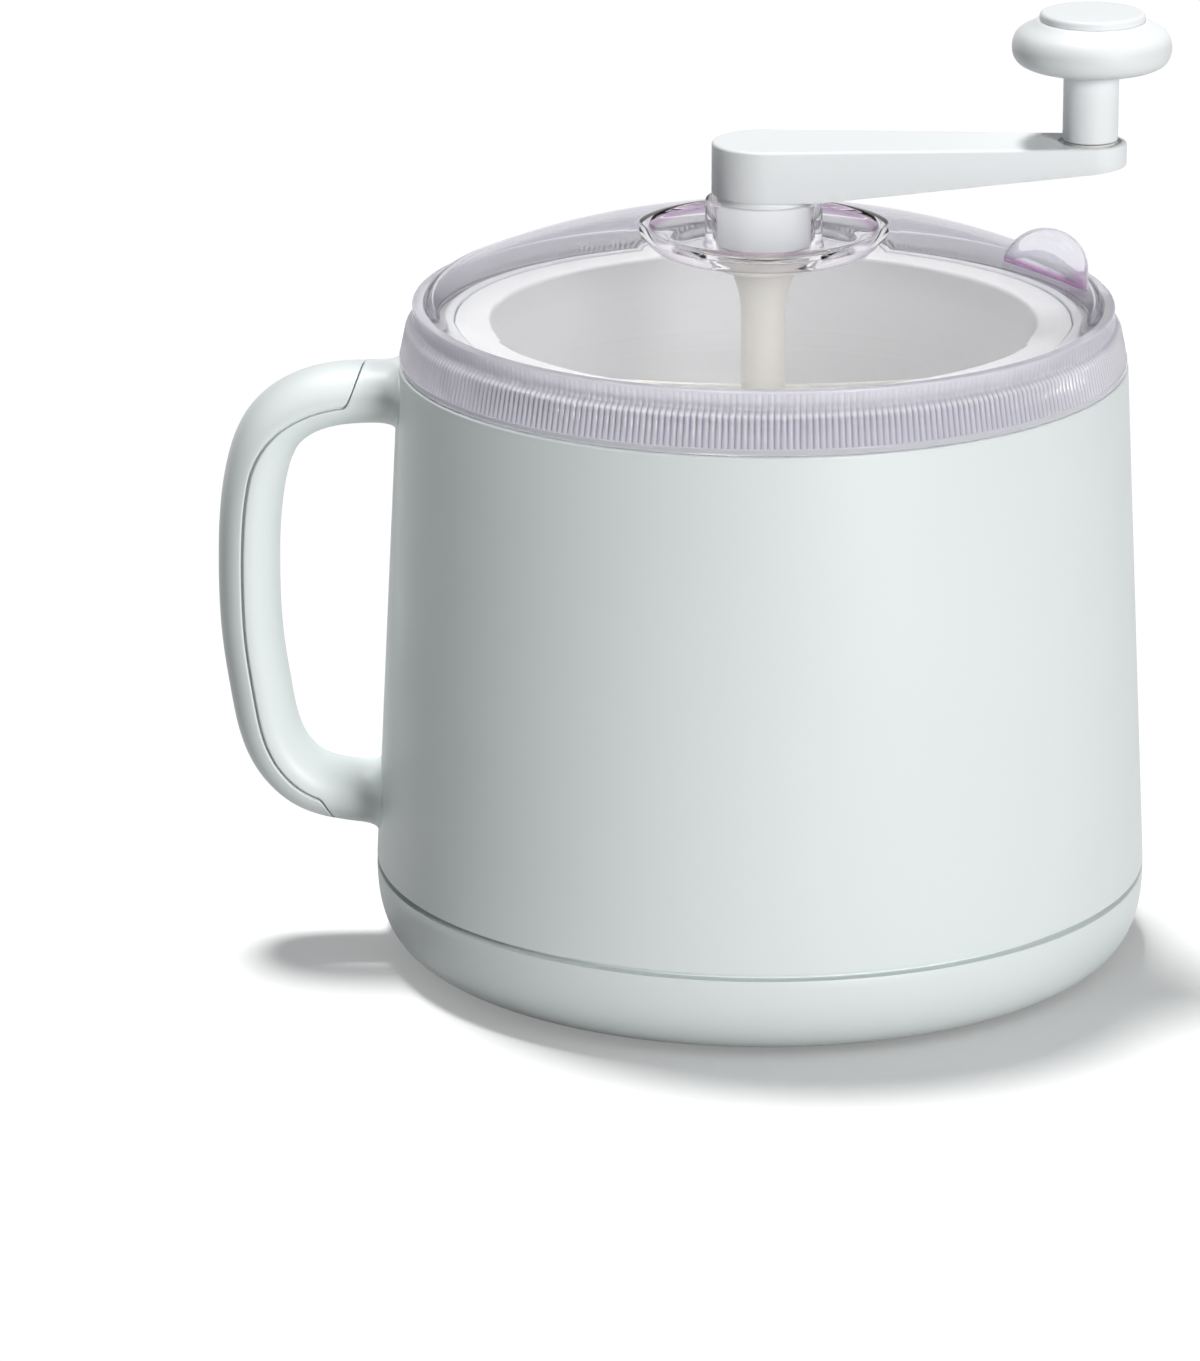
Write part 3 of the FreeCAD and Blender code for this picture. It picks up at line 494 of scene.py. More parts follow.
handle = {
    "reach": 141.09, "top": 156.3, "bottom": 31.6, "depth": 16.0, "width": 22.0, "bend": 25.5,
    "upperBend": ((1.0, 0.004), (0.608, 0.098), (0.286, 0.333), (0.098, 0.765)),
    "lowerBend": ((0.106, 1.14), (0.29, 0.482), (0.604, 0.157), (1.016, 0.039)),
    "bow": ((0.3, 0.33), (0.0, 0.45), (0.7, 0.6)), "rooted": 1.75,
    "coverDepth": 6.5, "armDepth": 9.5, "raised": 0.85, "leave": 0.8, "seam": 0.62, "edge": 0.6,
    "tongue": 1.2, "tongueWidth": 0.85, "topEnd": (108.4, 101.4), "bottomEnd": (115.2, 107.6),
    "flareSide": 3.5, "flareRise": 1.2, "flareLength": 5.0, "steps": 260, "around": 56,
}


def onBar(path, normal, out, side):
    # The handle is on the left, so x = -(path + out along the normal), and y is the way across
    flat = path[:, None, :] + out[..., None] * normal[:, None, :]
    return np.stack([-flat[..., 0], side, flat[..., 1]], -1)


def handlePath():
    # The bends are shares of one size (across, up or down), and the bow of the grip is (mm inwards,
    # share of the drop)
    h = handle
    top, low = h["top"] - h["depth"] / 2, h["bottom"] + h["depth"] / 2
    out, bend = h["reach"] - h["depth"] / 2, h["bend"]
    points = [(wallRadius(top) - h["rooted"], top)]
    points += [(out - bend * across, top - bend * down) for across, down in h["upperBend"]]
    points += [(out - inwards, top - share * (top - low)) for inwards, share in h["bow"]]
    points += [(out - bend * across, low + bend * up) for across, up in h["lowerBend"]]
    points += [(wallRadius(low) - h["rooted"], low)]
    return splineThrough(points, h["steps"])


def partingOffset(path):
    # How far the parting line lies from the bar's centre line. It lies deeper on the upper arm,
    # and at both ends it turns outwards in an S and leaves the bar
    h = handle
    armZ = h["top"] - h["depth"] / 2
    raised = easeIn(path[:, 1], armZ - h["raised"] * h["bend"], armZ)
    level = h["depth"] / 2 - (h["coverDepth"] + (h["armDepth"] - h["coverDepth"]) * raised)
    middle = (h["top"] + h["bottom"]) / 2
    upper = easeIn(path[:, 0], *h["topEnd"]) * (path[:, 1] > middle)
    lower = easeIn(path[:, 0], *h["bottomEnd"]) * (path[:, 1] < middle)
    return level + (h["depth"] / 2 + h["leave"] - level) * (upper + lower)


def barGrid(cover):
    # Round the oval of the bar, x = a cos v along the outward normal and y = b sin v, from one
    # parting edge to the other, and straight back across; both edges are rounded by a short curve
    h = handle
    path = handlePath()
    slope = np.gradient(path, axis=0)
    slope /= np.linalg.norm(slope, axis=1)[:, None]
    normal = np.stack([-slope[:, 1], slope[:, 0]], 1)
    a, b = h["depth"] / 2, h["width"] / 2
    gap = h["seam"] / 2 if cover else -h["seam"] / 2
    depth = np.clip((partingOffset(path) + gap) / a, -1, 1)
    turn = np.arccos(depth)[:, None]
    soft = np.minimum(h["edge"] / b, turn * 0.4)
    share = np.linspace(0, 1, h["around"])[None, :]
    if cover:
        v = -turn + soft + (2 * turn - 2 * soft) * share
    else:
        v = turn + soft + (2 * np.pi - 2 * turn - 2 * soft) * share
    arc = np.stack([a * np.cos(v), b * np.sin(v)], -1)
    corner = np.stack([a * depth, b * np.sin(turn[:, 0])], -1)[:, None, :]
    mirror = corner * [1, -1]
    back = np.minimum(h["edge"], 0.4 * np.abs(corner[..., 1:]))
    t = np.linspace(0, 1, 5)[None, 1:, None]
    first, last = (corner, mirror) if cover else (mirror, corner)
    sign = 1 if cover else -1
    turnIn = first - np.concatenate([0 * back, sign * back], -1)
    turnOut = last + np.concatenate([0 * back, sign * back], -1)
    leaveArc = (1 - t) ** 2 * arc[:, -1:] + 2 * t * (1 - t) * first + t ** 2 * turnIn
    across = turnIn + (turnOut - turnIn) * np.linspace(0, 1, 6)[None, 1:-1, None]
    joinArc = (1 - t) ** 2 * turnOut + 2 * t * (1 - t) * last + t ** 2 * arc[:, :1]
    section = np.concatenate([arc, leaveArc, across, turnOut, joinArc[:, :-1]], 1)
    return onBar(path, normal, section[..., 0], section[..., 1]), path, normal, section


def makeHandle():
    h = handle
    grid, path, normal, section = barGrid(True)
    keep = partingOffset(path) + h["seam"] / 2 < h["depth"] / 2
    first, last = np.flatnonzero(keep)[[0, -1]]
    grid = grid[first - 1:last + 2]
    grid[0] = grid[0].mean(axis=0)
    grid[-1] = grid[-1].mean(axis=0)
    fit(gridObject("handle_outer_cover", [grid], False), "housing", "white_housing", "handle_cover")
    grid, path, normal, section = barGrid(False)
    # Near the wall the oval swells by size (1 - sqrt(1 - (1 - t)^2)), with t the distance to the wall
    away = np.hypot(grid[..., 0], grid[..., 1]) - wallRadius(grid[..., 2])
    t = np.clip(away / h["flareLength"], 0, 1)
    swell = (1 - np.sqrt(np.clip(1 - (1 - t) ** 2, 0, 1)))[..., None]
    growth = np.array([h["flareRise"] / (h["depth"] / 2), h["flareSide"] / (h["width"] / 2)])
    moved = section * (1 + growth * swell)
    grid = onBar(path, normal, moved[..., 0], moved[..., 1])
    grid[..., 2] = np.minimum(grid[..., 2], housing["highZ"] - 0.2)
    fit(gridObject("handle_inner_half", [capped(grid)], False), "housing", "white_housing")
    # A flat tongue behind the seam, which follows the parting line and stays inside the oval
    level, a = partingOffset(path), h["depth"] / 2
    inside = level + h["tongue"] < a - h["edge"]
    level, path, normal = level[inside], path[inside], normal[inside]
    half = h["width"] / 2 * np.sqrt(1 - ((np.abs(level) + h["tongue"]) / a) ** 2) * h["tongueWidth"]
    low, high = level - h["tongue"], level + h["tongue"]
    across, side = np.stack([low, high, high, low], 1), np.stack([-half, -half, half, half], 1)
    strip = onBar(path, normal, across, side)
    fit(gridObject("handle_tongue", [capped(strip)], False), "housing", "white_housing")


ring = {
    "lowRadius": 93.7, "lowZ": 157.2, "band": 1.5, "shoulderRadius": 92.0, "shoulderZ": 166.3,
    "upperRadius": 90.3, "stepZ": 168.3, "topZ": 172.68, "wall": 2.2, "upperWall": 2.9, "ledgeZ": 165.7,
    "ribs": 360, "ribDepth": 0.6, "upperDepth": 0.3, "ribShape": 0.8, "perRib": 8,
    "paintedShadeShape": 1.6, "upperPaintedShade": 0.5,
}


def makeRing():
    # Ribs stand on the outer side: between them the radius loses depth (1 - |cos(ribs a / 2)|^0.8).
    # They are lower on the upper band, and fade out towards the plain top edge
    r = ring
    bandTop, inner = r["lowZ"] + r["band"], r["upperRadius"] - r["upperWall"]
    outer = outline(
        (r["lowRadius"] - r["wall"], r["lowZ"]), (r["lowRadius"], r["lowZ"], 0.3),
        (r["lowRadius"], bandTop, 0.1), (r["lowRadius"] - 0.12, bandTop + 0.25),
        (r["shoulderRadius"] + 0.1, r["shoulderZ"], 0.8), (r["upperRadius"], r["stepZ"], 0.8),
        (r["upperRadius"], r["topZ"] - 1.2), (r["upperRadius"], r["topZ"], 0.6),
        (inner, r["topZ"], 0.4), (inner, r["ledgeZ"]),
        (r["shoulderRadius"] - r["wall"], r["ledgeZ"], 0.3), steps=6)
    outside = outer[:, 0] > r["upperRadius"] - 0.3
    ribbed = outside * easeIn(outer[:, 1], bandTop, bandTop + 0.3)
    ribbed = ribbed * (1 - easeIn(outer[:, 1], r["topZ"] - 1.4, r["topZ"] - 0.5))
    angle = np.linspace(0, 2 * np.pi, r["ribs"] * r["perRib"], endpoint=False)[:, None]
    upper = easeIn(outer[:, 1], r["shoulderZ"] + 0.5, r["stepZ"] + 0.8)
    depth = r["ribDepth"] + (r["upperDepth"] - r["ribDepth"]) * upper
    dip = 1 - np.abs(np.cos(r["ribs"] * angle / 2)) ** r["ribShape"]
    radius = outer[None, :, 0] - dip * (depth * ribbed)[None, :]
    piece = gridObject("ribbed_ring", [roundAxis(angle, radius, outer[None, :, 1])], sharp=80)
    # The painted shade lies in the valleys of the lower band, ((plain radius - radius) / the rib's
    # depth)^1.6.
    # Over the step it grows to an even half, which the upper band has all over
    x, y, z = pointsOf(piece.data).T / mm
    far, lowerSide = np.hypot(x, y), outer[3:20]
    plain = np.interp(z, lowerSide[:, 1], lowerSide[:, 0])
    valley = np.clip((plain - far) / r["ribDepth"], 0, 1) ** r["paintedShadeShape"] * (far > r["upperRadius"] - 0.8)
    paintedLightOn(piece, valley * (1 - r["upperPaintedShade"] * easeIn(z, r["shoulderZ"], r["stepZ"])))
    fit(piece, "ring", "clear_ring", "grip_ring")


lid = {
    "radius": 87.08, "footZ": 167.0, "edgeZ": 173.6, "edge": 2.0, "domeTop": 192.7, "wall": 2.2,
    "fall": ((0.0, 0.0), (0.2775, 0.188), (0.548, 0.401), (0.818, 0.671)), "edgeSlope": 0.42,
    "dishRadius": 29.6, "dishDepth": 5.2, "sleeveRadius": 15.0, "bore": 12.2, "sleeveTop": 199.6,
    "finCentre": 72.4, "finRadius": 10.8, "finHeight": 11.7, "finShoulder": 1.5, "finThickness": 2.4,
    "finDish": 0.75, "finAngle": -3.0, "sealZ": (165.7, 166.98), "refractionLineWidth": 1.1,
}


def domeLine(drop, short=0.0, count=40):
    # Points (share of the way out, share of the fall); the last lies short of the edge
    l = lid
    rise, start = l["domeTop"] - l["edgeZ"], l["dishRadius"]
    run = l["radius"] - l["edge"] - start
    points = [(start + out * run, l["domeTop"] - down * rise - drop) for out, down in l["fall"]]
    points.append((start + run - short, l["edgeZ"] + 1.06 * l["edge"] + l["edgeSlope"] * short - drop))
    return splineThrough(points, count)


def makeLid():
    # Walked up the skirt, over the dome, down into the dish, up the sleeve and back underneath
    l = lid
    over, under = domeLine(0), domeLine(l["wall"], 0.7 * l["edge"])
    skirt = l["radius"] - l["wall"]
    edgeLow = l["edgeZ"] - 0.6 * l["edge"]
    crown = splineThrough([
        (l["radius"], edgeLow), (l["radius"] - 0.28 * l["edge"], l["edgeZ"] + 0.45 * l["edge"]),
        over[-1]], 12)
    floor = l["domeTop"] - l["dishDepth"]
    width = l["dishRadius"] - l["sleeveRadius"]
    dish = splineThrough([
        (l["dishRadius"], l["domeTop"]),
        (l["dishRadius"] - 0.18 * width, l["domeTop"] - 0.62 * l["dishDepth"]),
        (l["dishRadius"] - 0.51 * width, l["domeTop"] - 0.93 * l["dishDepth"]),
        (l["sleeveRadius"] + 0.8, floor)], 18)
    sleeve = outline((l["sleeveRadius"] + 3, floor), (l["sleeveRadius"], floor, 0.8),
                     (l["sleeveRadius"], l["sleeveTop"], 0.5), (l["bore"], l["sleeveTop"], 0.5),
                     (l["bore"], floor - l["wall"], 0.4), (l["bore"] + 6, floor - l["wall"]), steps=5)[1:-1]
    low = floor - l["wall"]
    below = splineThrough([(l["bore"] + 1.5, low), (l["dishRadius"] - 0.48 * width, low + 0.14 * l["wall"]),
                           (l["dishRadius"] - 0.11 * width, low + 0.5 * l["wall"]),
                           (l["dishRadius"] + l["wall"], under[0][1] - 0.14 * l["wall"])], 14)
    inside = splineThrough([under[-1], (skirt - 0.15 * l["edge"], l["edgeZ"] - 0.1 * l["wall"]),
                            (skirt, edgeLow - 0.1 * l["wall"])], 8)
    edge = outline(tuple(over[2]), (l["dishRadius"], l["domeTop"], 0.45), tuple(dish[2]), steps=5)[1:-1]
    profile = np.vstack([
        [(skirt, l["footZ"] + 0.3), (skirt + 0.3, l["footZ"]),
         (l["radius"] - 0.3, l["footZ"]), (l["radius"], l["footZ"] + 0.3)],
        crown, over[::-1][1:-2], edge, dish[2:], sleeve, below, under[3:], inside[1:]])
    piece = turned("clear_dome", profile, 320, sharp=50)
    # The painted refraction line is a narrow round line at the dish's edge: 1 - |r - edge| / width
    x, y, z = pointsOf(piece.data).T / mm
    line = np.clip(1 - np.abs(np.hypot(x, y) - l["dishRadius"] + 0.9) / l["refractionLineWidth"], 0, 1)
    paintedLightOn(piece, line * (z > l["domeTop"] - 2.5))
    fit(piece, "lid", "clear_lid", "lid")
    fin = makeFin()
    # A painted refraction line along the fin's root, where it meets the dome: 1.3 - |height over the dome|
    # / width
    x, y, z = pointsOf(fin.data).T / mm
    rise = z - np.interp(np.hypot(x, y), over[:, 0], over[:, 1])
    paintedLightOn(fin, np.clip(1.3 - np.abs(rise) / l["refractionLineWidth"], 0, 1))
    fit(fin, "lid", "clear_lid")
    fin.data.materials[0] = finishes["clear_fin"]
    low, high = l["sealZ"]
    seal = outline((skirt, low), (l["radius"], low, 0.3), (l["radius"], high, 0.2),
                   (skirt, high, 0.2), steps=4)
    fit(turned("lid_seal", seal), "lid", "seal_clear", "lid_gasket")


def makeFin():
    # The rim runs through three points of a round; (u, w) = middle + p (rim - middle), with p from 0
    # to 1, and the half thickness loses a shallow dish inside the rim
    l = lid
    dome = domeLine(0)
    domeAt = lambda x: np.interp(x, dome[:, 0], dome[:, 1])
    centre, radius, sink = l["finCentre"], l["finRadius"], l["wall"] / 2
    root = domeAt(centre)
    inner = np.array([centre - radius, domeAt(centre - radius) + 0.2 * l["finShoulder"]])
    crown = np.array([centre, root + l["finHeight"]])
    outer = np.array([centre + radius, root + l["finShoulder"]])
    # The middle m of the round has (m - inner)^2 = (m - crown)^2 = (m - outer)^2
    middle = np.linalg.solve(2 * np.array([crown - inner, outer - crown]),
                             [crown @ crown - inner @ inner, outer @ outer - crown @ crown])
    size = np.linalg.norm(crown - middle)
    start, end = [math.atan2(*(point - middle)[::-1]) for point in (outer, inner)]
    arc = np.linspace(start, end + (2 * math.pi if end < start else 0), 44)
    rim = middle + size * np.stack([np.cos(arc), np.sin(arc)], 1)
    rim = np.vstack([(centre + radius, domeAt(centre + radius) - sink), rim,
                     (centre - radius, domeAt(centre - radius) - sink)])
    heart = np.array([centre + 0.3, root + 0.4 * l["finHeight"]])
    share = np.array([0, 0.2, 0.4, 0.55, 0.66, 0.74, 0.8, 0.85, 0.92, 0.97, 1.0])
    half = l["finThickness"] / 2
    thick = half - l["finDish"] * (1 - easeIn(share, 0.45, 0.84))
    thick[-2:] = (half * 0.93, half * 0.62)
    face = heart + share[:, None, None] * (rim - heart)
    front = np.concatenate([face, np.broadcast_to(-thick[:, None, None], face.shape[:2] + (1,))], -1)
    grid = np.concatenate([front, front[::-1] * [1, 1, -1]], 0)
    turnedAside = rotated(grid[..., 0], grid[..., 2], l["finAngle"])
    grid = np.stack([*turnedAside, grid[..., 1]], -1)
    return gridObject("thumb_fin", [grid], False)


crank = {
    "length": 83.2, "hub": 13.5, "tip": 9.4, "topZ": 214.6, "hubZ": 201.1, "tipZ": 208.6, "wall": 2.2,
    "skin": 2.6, "edge": 0.8, "neck": 12.12, "neckZ": 187.8, "socketTop": 203.5, "socketFlats": 10.6,
    "recess": 8.1, "recessZ": 214.0, "ribsAt": (30.9, 48.35, 65.8), "ribWall": 1.6, "boss": 7.2,
    "headSeat": 5.3, "headZ": 209.2, "bore": 2.98,
}


def planLine(hub, tip, count=36):
    # Two rounds and their common tangents: both arcs turn at the lean whose sine is (hub - tip) / length
    length = crank["length"]
    lean = math.asin((hub - tip) / length)
    far = np.linspace(-math.pi / 2 + lean, math.pi / 2 - lean, count)
    near = np.linspace(math.pi / 2 - lean, 1.5 * math.pi + lean, count)
    tipArc = np.stack([length + tip * np.cos(far), tip * np.sin(far)], 1)
    hubArc = np.stack([hub * np.cos(near), hub * np.sin(near)], 1)
    share = np.linspace(0, 1, 26)[1:-1, None]
    return np.vstack([tipArc, tipArc[-1] + (hubArc[0] - tipArc[-1]) * share,
                      hubArc, hubArc[-1] + (tipArc[0] - hubArc[-1]) * share])


def makeCrank():
    # Rings of the plan line, drawn in by an inset and set at a height: from the middle line of the
    # top over the rounded edge, down the side, round the lip and up to the hollow's middle line
    c = crank
    far = c["length"] + c["tip"]
    slope = lambda x: c["hubZ"] + (c["tipZ"] - c["hubZ"]) * np.clip((x - c["hub"]) / (far - c["hub"]), 0, 1)
    rings = []

    def ring(inset, height, sloped=False):
        line = planLine(max(c["hub"] - inset, 0), max(c["tip"] - inset, 0))
        z = slope(line[:, 0]) + height if sloped else np.full(len(line), height)
        rings.append(np.column_stack([line, z]))

    ceiling, middle = c["topZ"] - c["skin"], 99  # such a large inset ends on the middle line
    for inset in (middle, 5.0, 2.0):
        ring(inset, c["topZ"])
    for turn in np.linspace(0, math.pi / 2, 7):
        ring(c["edge"] * (1 - math.sin(turn)), c["topZ"] - c["edge"] * (1 - math.cos(turn)))
    ring(0, c["topZ"] - 4)
    lip = ((0, 0.4), (0.15, 0.1), (0.5, 0.0), (c["wall"] - 0.3, 0.0), (c["wall"], 0.3))
    for inset, height in lip:
        ring(inset, height, True)
    ring(c["wall"], ceiling - 0.5)
    for inset in (c["wall"] + 0.5, 5.0, middle):
        ring(inset, ceiling)
    arm = gridObject("crank_lever", [np.array(rings)], False)
    tip, over, root = (c["length"], 0), c["topZ"] + 2, ceiling + 0.5
    recess = np.array([(0, c["recessZ"]), (c["recess"], c["recessZ"]), (c["recess"], over), (0, over)])
    carve(arm, [turned("recess", recess, 96, tip, False)])
    fit(arm, "crank", "white_crank", "crank_arm")
    socket = c["socketFlats"] / 2
    neck = outline((socket, c["neckZ"], 0), (c["neck"], c["neckZ"], 0.6), (c["neck"], root),
                   (0, root), (0, c["socketTop"]), (socket, c["socketTop"]))
    flats = np.zeros(len(neck))
    flats[[0, -1]] = c["socketFlats"]
    fit(turned("crank_neck", neck, 192, sharp=30, hexFlats=flats), "crank", "white_crank")
    low = c["tipZ"] - 0.2
    boss = outline((c["bore"], c["headZ"]), (c["headSeat"], c["headZ"]), (c["headSeat"], low, 0.2),
                   (c["boss"], low, 0.2), (c["boss"], root), (c["bore"], root), steps=3)
    fit(turned("crank_tip_boss", boss, 96, tip), "crank", "white_crank")
    ribs = []
    for x in c["ribsAt"]:
        reach = np.interp(x, (0, c["length"]), (c["hub"], c["tip"])) - c["wall"] + 0.4
        low = slope(x) + 1.2
        section = outline((0, low, 0.4), (c["ribWall"], low, 0.4), (c["ribWall"], root), (0, root), steps=4)
        ribs.append(capped(np.array([
            np.column_stack([x + section[:, 0], np.full(len(section), y), section[:, 1]])
            for y in (-reach, reach)])))
    fit(gridObject("crank_ribs", ribs, False), "crank", "white_crank")


knob = {
    "stem": 7.1, "bottomZ": 215.1, "discZ": 233.0, "height": 13.1, "radius": 20.4,
    "capRadius": 13.5, "capHeight": 2.2, "capEdge": 1.3, "shoulder": 0.6, "bore": 2.98,
    "pocket": 6.5, "pocketDepth": 6.0,
}


def makeKnob():
    k, centre = knob, (crank["length"], 0)
    disc, high = k["discZ"], k["height"]
    top = disc + high
    shoulder = k["capRadius"] + k["shoulder"]
    rim = splineThrough([
        (k["stem"] + 0.5, disc - 0.1), (0.72 * k["radius"], disc + 0.06 * high),
        (0.95 * k["radius"], disc + 0.22 * high), (k["radius"], disc + 0.48 * high),
        (0.94 * k["radius"], disc + 0.76 * high), (shoulder + 1.5, disc + 0.93 * high),
        (shoulder, top)], 70)
    pocketFloor, plug = top - k["pocketDepth"], k["pocket"] - 0.3
    profile = np.vstack([
        outline((k["bore"], k["bottomZ"]), (k["stem"], k["bottomZ"], 0.5), (k["stem"], disc, 0.7),
                (k["stem"] + 4, disc))[:-1],
        rim[2:], [(k["pocket"], top), (k["pocket"], pocketFloor), (k["bore"], pocketFloor)]])
    fit(turned("knob_disc", profile, 160, centre), "knob", "white_crank", "knob_grip")
    cap = outline((0, top - 2.0), (plug, top - 2.0, 0.3), (plug, top), (k["capRadius"], top, 0.4),
                  (k["capRadius"], top + k["capHeight"], k["capEdge"]), (0, top + k["capHeight"]), steps=9)
    fit(turned("knob_top_cap", cap, 160, centre, False), "knob", "white_crank", "knob_cap")


can = {
    "inner": 70.0, "wall": 1.2, "floorZ": 62.06, "topZ": 167.75, "lip": 79.0, "outer": 81.5,
    "bottomZ": 42.1, "seatZ": 162.78, "corner": 5.0, "rimInner": 71.5, "rimPlug": 80.0, "rimLow": 160.5,
    "flange": 89.3, "flangeTop": 165.4, "rimWall": 82.0, "rimTop": 168.1, "rimSeat": 79.3,
    "cup": 6.0, "cupBore": 3.08, "cupTop": 66.06, "cupFloor": 62.9,
}


def makeCans():
    c = can
    w = c["wall"]
    wide, under, seat = c["inner"] + w, c["floorZ"] - w, c["topZ"] - w
    inner = outline((0, under), (wide, under, c["corner"] + w), (wide, seat, 0.5), (c["lip"], seat, 0.4),
                    (c["lip"], c["topZ"], 0.4), (c["inner"], c["topZ"], 1.2),
                    (c["inner"], c["floorZ"], c["corner"]), (0, c["floorZ"]))
    fit(turned("inner_can", inner, closed=False), "cylinder", "can_aluminium", "cylinder_inner_can")
    narrow, floor = c["outer"] - w, c["bottomZ"] + w
    outer = outline((0, c["bottomZ"]), (c["outer"], c["bottomZ"], 4.0), (c["outer"], c["seatZ"]),
                    (narrow, c["seatZ"]), (narrow, floor, 3.0), (0, floor))
    fit(turned("outer_can", outer, closed=False), "cylinder", "can_aluminium", "cylinder_outer_can")
    rim = outline((c["rimInner"], c["rimLow"]), (c["rimPlug"], c["rimLow"], 0.3),
                  (c["rimPlug"], c["seatZ"]), (c["flange"], c["seatZ"], 0.4),
                  (c["flange"], c["flangeTop"], 0.5), (c["rimWall"], c["flangeTop"], 0.5),
                  (c["rimWall"], c["rimTop"], 0.8), (c["rimSeat"], c["rimTop"], 0.5),
                  (c["rimSeat"], seat), (c["rimInner"], seat))
    fit(turned("can_rim", rim), "cylinder", "rim_plastic", "cylinder_rim")
    cup = outline((0, c["floorZ"] + 0.02), (c["cup"], c["floorZ"] + 0.02), (c["cup"], c["cupTop"], 0.6),
                  (c["cupBore"], c["cupTop"], 0.5), (c["cupBore"], c["cupFloor"]), (0, c["cupFloor"]))
    fit(turned("foot_bearing", cup, 96, closed=False), "cylinder", "rim_plastic", "pivot_cup")


dasher = {
    "collar": 11.7, "collarZ": (180.85, 187.45), "stem": 5.65, "root": 8.5, "flare": 13.0, "footZ": 66.36,
    "pin": 3.0, "pinZ": 63.16, "driveFlats": 10.0, "driveTop": 202.45,
    "reach": 69.0, "lowZ": 62.96, "height": 88.0, "thickness": 3.6, "bar": 7.0, "windowFrom": 7.15,
    "lipWidth": 9.0, "lipThickness": 2.4, "lipAngle": 38.0, "corner": 4.0, "edge": 0.5, "cupRoom": 6.5,
}


def roundedLoop(lowX, highX, lowZ, highZ, radius):
    return outline((lowX, lowZ, radius), (highX, lowZ, radius), (highX, highZ, radius),
                   (lowX, highZ, radius), steps=8)


def makeScraper():
    # The frame is a flat curve with four windows; its thickness and rounded edges come from
    # the curve's own extrusion and bevel, and it is then stood upright
    d = dasher
    curve = bpy.data.curves.new("scraper_plan", "CURVE")
    curve.dimensions = "2D"
    curve.fill_mode = "BOTH"
    e, reach, low = d["edge"], d["reach"] - 1, d["lowZ"]
    step = (d["height"] - d["bar"]) / 2
    room, sill = d["cupRoom"] + e, can["cupTop"] + 0.3 + e
    side, foot, head = reach - e, low + e, low + d["height"] - e
    plan = outline((-side, foot, 0.5), (-room, foot), (-room, sill, 0.4), (room, sill, 0.4),
                   (room, foot), (side, foot, 0.5), (side, head, 2.0), (-side, head, 2.0), steps=6)
    loops = [plan]
    for row in (0, 1):
        foot = low + d["bar"] + row * step
        head = low + (row + 1) * step
        inner, outer = d["windowFrom"], d["reach"] - d["lipWidth"]
        loops += [roundedLoop(inner - e, outer + e, foot - e, head + e, d["corner"] + e),
                  roundedLoop(-outer - e, -inner + e, foot - e, head + e, d["corner"] + e)]
    for loop in loops:
        line = curve.splines.new("POLY")
        line.points.add(len(loop) - 1)
        places = np.column_stack([loop * mm, 0 * loop[:, 0], 0 * loop[:, 0] + 1])
        line.points.foreach_set("co", places.astype(np.float32).ravel())
        line.use_cyclic_u = True
    curve.extrude = (d["thickness"] / 2 - e) * mm
    curve.bevel_depth = e * mm
    curve.bevel_resolution = 2
    drawn = addObject("scraper_plan", curve)
    mesh = shapeOf(drawn)
    bpy.data.objects.remove(drawn)
    x, y, z = pointsOf(mesh).T
    mesh.vertices.foreach_set("co", np.stack([x, -z, y], 1).ravel())
    return addObject("scraper_frame", cleaned(mesh))


def makeDasher():
    d = dasher
    low, high = d["collarZ"]
    flare = splineThrough([(d["stem"], low - d["flare"]), (d["stem"] + 0.4, low - 0.6 * d["flare"]),
                           (d["root"], low)], 14)
    profile = np.vstack([
        [(0, d["pinZ"]), (d["pin"] - 0.5, d["pinZ"]), (d["pin"], d["pinZ"] + 0.5), (d["pin"], d["footZ"]),
         (d["stem"] - 0.4, d["footZ"]), (d["stem"], d["footZ"] + 0.4)], flare,
        outline((d["root"], low), (d["collar"], low, 0.7), (d["collar"], high, 0.5), (d["root"], high))[1:],
        [(5, high), (5, d["driveTop"] - 0.5), (4.6, d["driveTop"]), (0, d["driveTop"])]])
    flats = np.zeros(len(profile))
    flats[-4:] = (d["driveFlats"], d["driveFlats"], d["driveFlats"] - 1, 0)
    stem = turned("dasher_stem", profile, 192, closed=False, sharp=28, hexFlats=flats)
    fit(stem, "dasher", "dasher_plastic", "dasher")
    fit(makeScraper(), "dasher", "dasher_plastic")
    # Each lip is a rounded strip, turned by its angle and carried up the edge of the frame
    section = outline((-d["lipWidth"], 0, 1.1), (-0.4, 0, 0.6), (-0.4, d["lipThickness"], 0.6),
                      (-d["lipWidth"], d["lipThickness"], 1.1), steps=6)
    x, y = rotated(section[:, 0], section[:, 1], -d["lipAngle"])
    x, y = x + d["reach"] - 0.5, y - d["lipThickness"]
    near = np.minimum(1, (d["reach"] - 0.02) / np.hypot(x, y))
    flat = np.stack([x * near, y * near], 1)
    middle = flat.mean(axis=0)
    ends = ((0, 0.5), (0.15, 0.15), (0.5, 0))  # (mm from the end, mm drawn in) rounds each end
    rows = []
    for z, inset in ends + tuple((d["height"] - up, inset) for up, inset in ends[::-1]):
        drawn = middle + (flat - middle) * (1 - inset / d["lipThickness"])
        rows.append(np.column_stack([drawn, np.full(len(flat), d["lowZ"] + z)]))
    strip = capped(np.array(rows))
    fit(gridObject("scraper_lips", [strip, strip * [-1, -1, 1]], False), "dasher", "dasher_plastic")


makeShell()
makeLugs()
makeLiner()
makeBase()
makeHandle()
print("housing done")
makeRing()
makeLid()
print("ring and lid done")
makeCrank()
makeKnob()
print("crank and knob done")
makeCans()
makeDasher()
print("cans and dasher done")

shownNodes = {entry["node"]: entry["material_slot"] for entry in frame["record"]["subparts"]}
for node, piece in frame["nodes"].items():
    dress(piece, shownNodes[node])


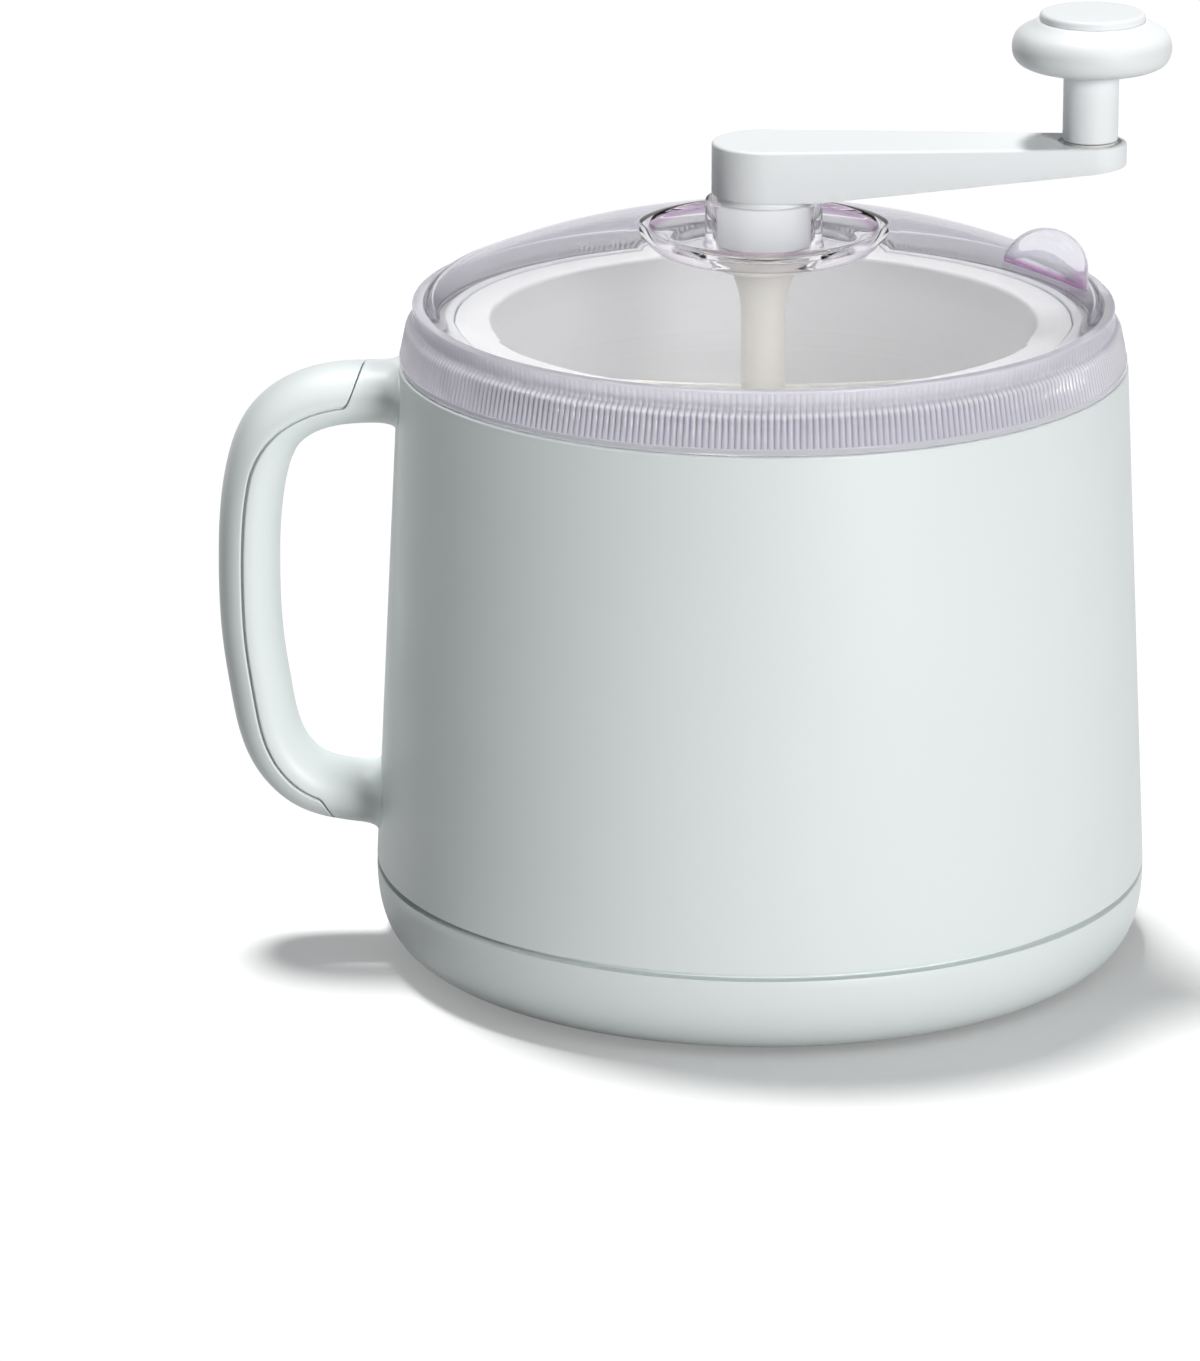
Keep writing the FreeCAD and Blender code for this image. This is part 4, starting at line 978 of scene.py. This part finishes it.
studio = {
    "cameraPlace": (-0.04199, -1.87156, 0.65569), "cameraDown": 17.372, "lens": 198.6, "sensor": 36.0,
    "sky": (0.06, 0.062, 0.067), "floorFor": {"camera": 0.95, "light": 0.44}, "floorGlow": 0.25,
    "key": {"aim": (30, 15), "strength": 2.46, "spread": 16},
    "top": {"aim": (-152, 78), "strength": 2.42, "spread": 10},
    "floorSize": 6.0, "floorDrop": 0.0004, "floorRoughness": 0.9, "floorGloss": 0.1, "farthest": 20,
}


def makeCamera():
    camera = addObject("camera", bpy.data.cameras.new("camera"))
    camera.location = studio["cameraPlace"]
    camera.rotation_euler = (math.radians(90 - studio["cameraDown"]), 0, 0)
    camera.data.lens = studio["lens"]
    camera.data.sensor_width = studio["sensor"]
    camera.data.clip_end = studio["farthest"]
    bpy.context.scene.camera = camera


def plainView(tree):
    # 1 for what the camera sees straight on, in gloss or through clear plastic, else 0
    path = addNode(tree, "ShaderNodeLightPath", {})
    seen = path["Is Camera Ray"]
    for name in ("Is Glossy Ray", "Is Transmission Ray"):
        seen = addNode(tree, "ShaderNodeMath", {0: seen, 1: path[name]}, operation="MAXIMUM")["Value"]
    return seen


def makeWorld():
    world = bpy.data.worlds.new("studio")
    world.use_nodes = True
    bpy.context.scene.world = world
    tree = world.node_tree
    level = blendColours(tree, plainView(tree), (*studio["sky"], 1), (1, 1, 1, 1))
    feed(tree, tree.nodes["Background"], {"Color": level})


def makeFloor():
    # A wide floor: where it is seen it is paler and glows a little, so it stays white round the shadow
    size, low = studio["floorSize"], -studio["floorDrop"]
    mesh = bpy.data.meshes.new("floor")
    mesh.from_pydata([(-size, -size, low), (size, -size, low), (size, size, low), (-size, size, low)],
                     [], [(0, 1, 2, 3)])
    floor = addObject("floor", mesh)
    finish = bpy.data.materials.new("paleFloor")
    finish.use_nodes = True
    tree, tone = finish.node_tree, studio["floorFor"]
    seen = plainView(tree)
    glow = addNode(tree, "ShaderNodeMath", {0: seen, 1: studio["floorGlow"]}, operation="MULTIPLY")
    feed(tree, tree.nodes["Principled BSDF"], {
        "Base Color": blendColours(tree, seen, (tone["light"],) * 3 + (1,), (tone["camera"],) * 3 + (1,)),
        "Roughness": studio["floorRoughness"], "Specular IOR Level": studio["floorGloss"],
        "Emission Color": (1, 1, 1, 1), "Emission Strength": glow["Value"]})
    mesh.materials.append(finish)
    return floor


def makeSun(name, look):
    # Soft daylight from an angle round the pot (0 is the camera's side, right is plus) and a height
    data = bpy.data.lights.new(name, "SUN")
    data.energy = look["strength"]
    data.angle = math.radians(look["spread"])
    sun = addObject(name, data)
    side, high = look["aim"]
    sun.rotation_euler = (math.radians(90 - high), 0, math.radians(side))
    return sun


makeCamera()
makeWorld()
floor = makeFloor()
# The low light leaves out the floor, where it would draw a long shadow
unlit = bpy.data.collections.new("floorOnly")
unlit.objects.link(floor)
makeSun("keyLight", studio["key"]).light_linking.receiver_collection = unlit
unlit.collection_objects[0].light_linking.link_state = "EXCLUDE"
makeSun("topLight", studio["top"])
bpy.context.scene.view_settings.view_transform = "Standard"
print("studio done")
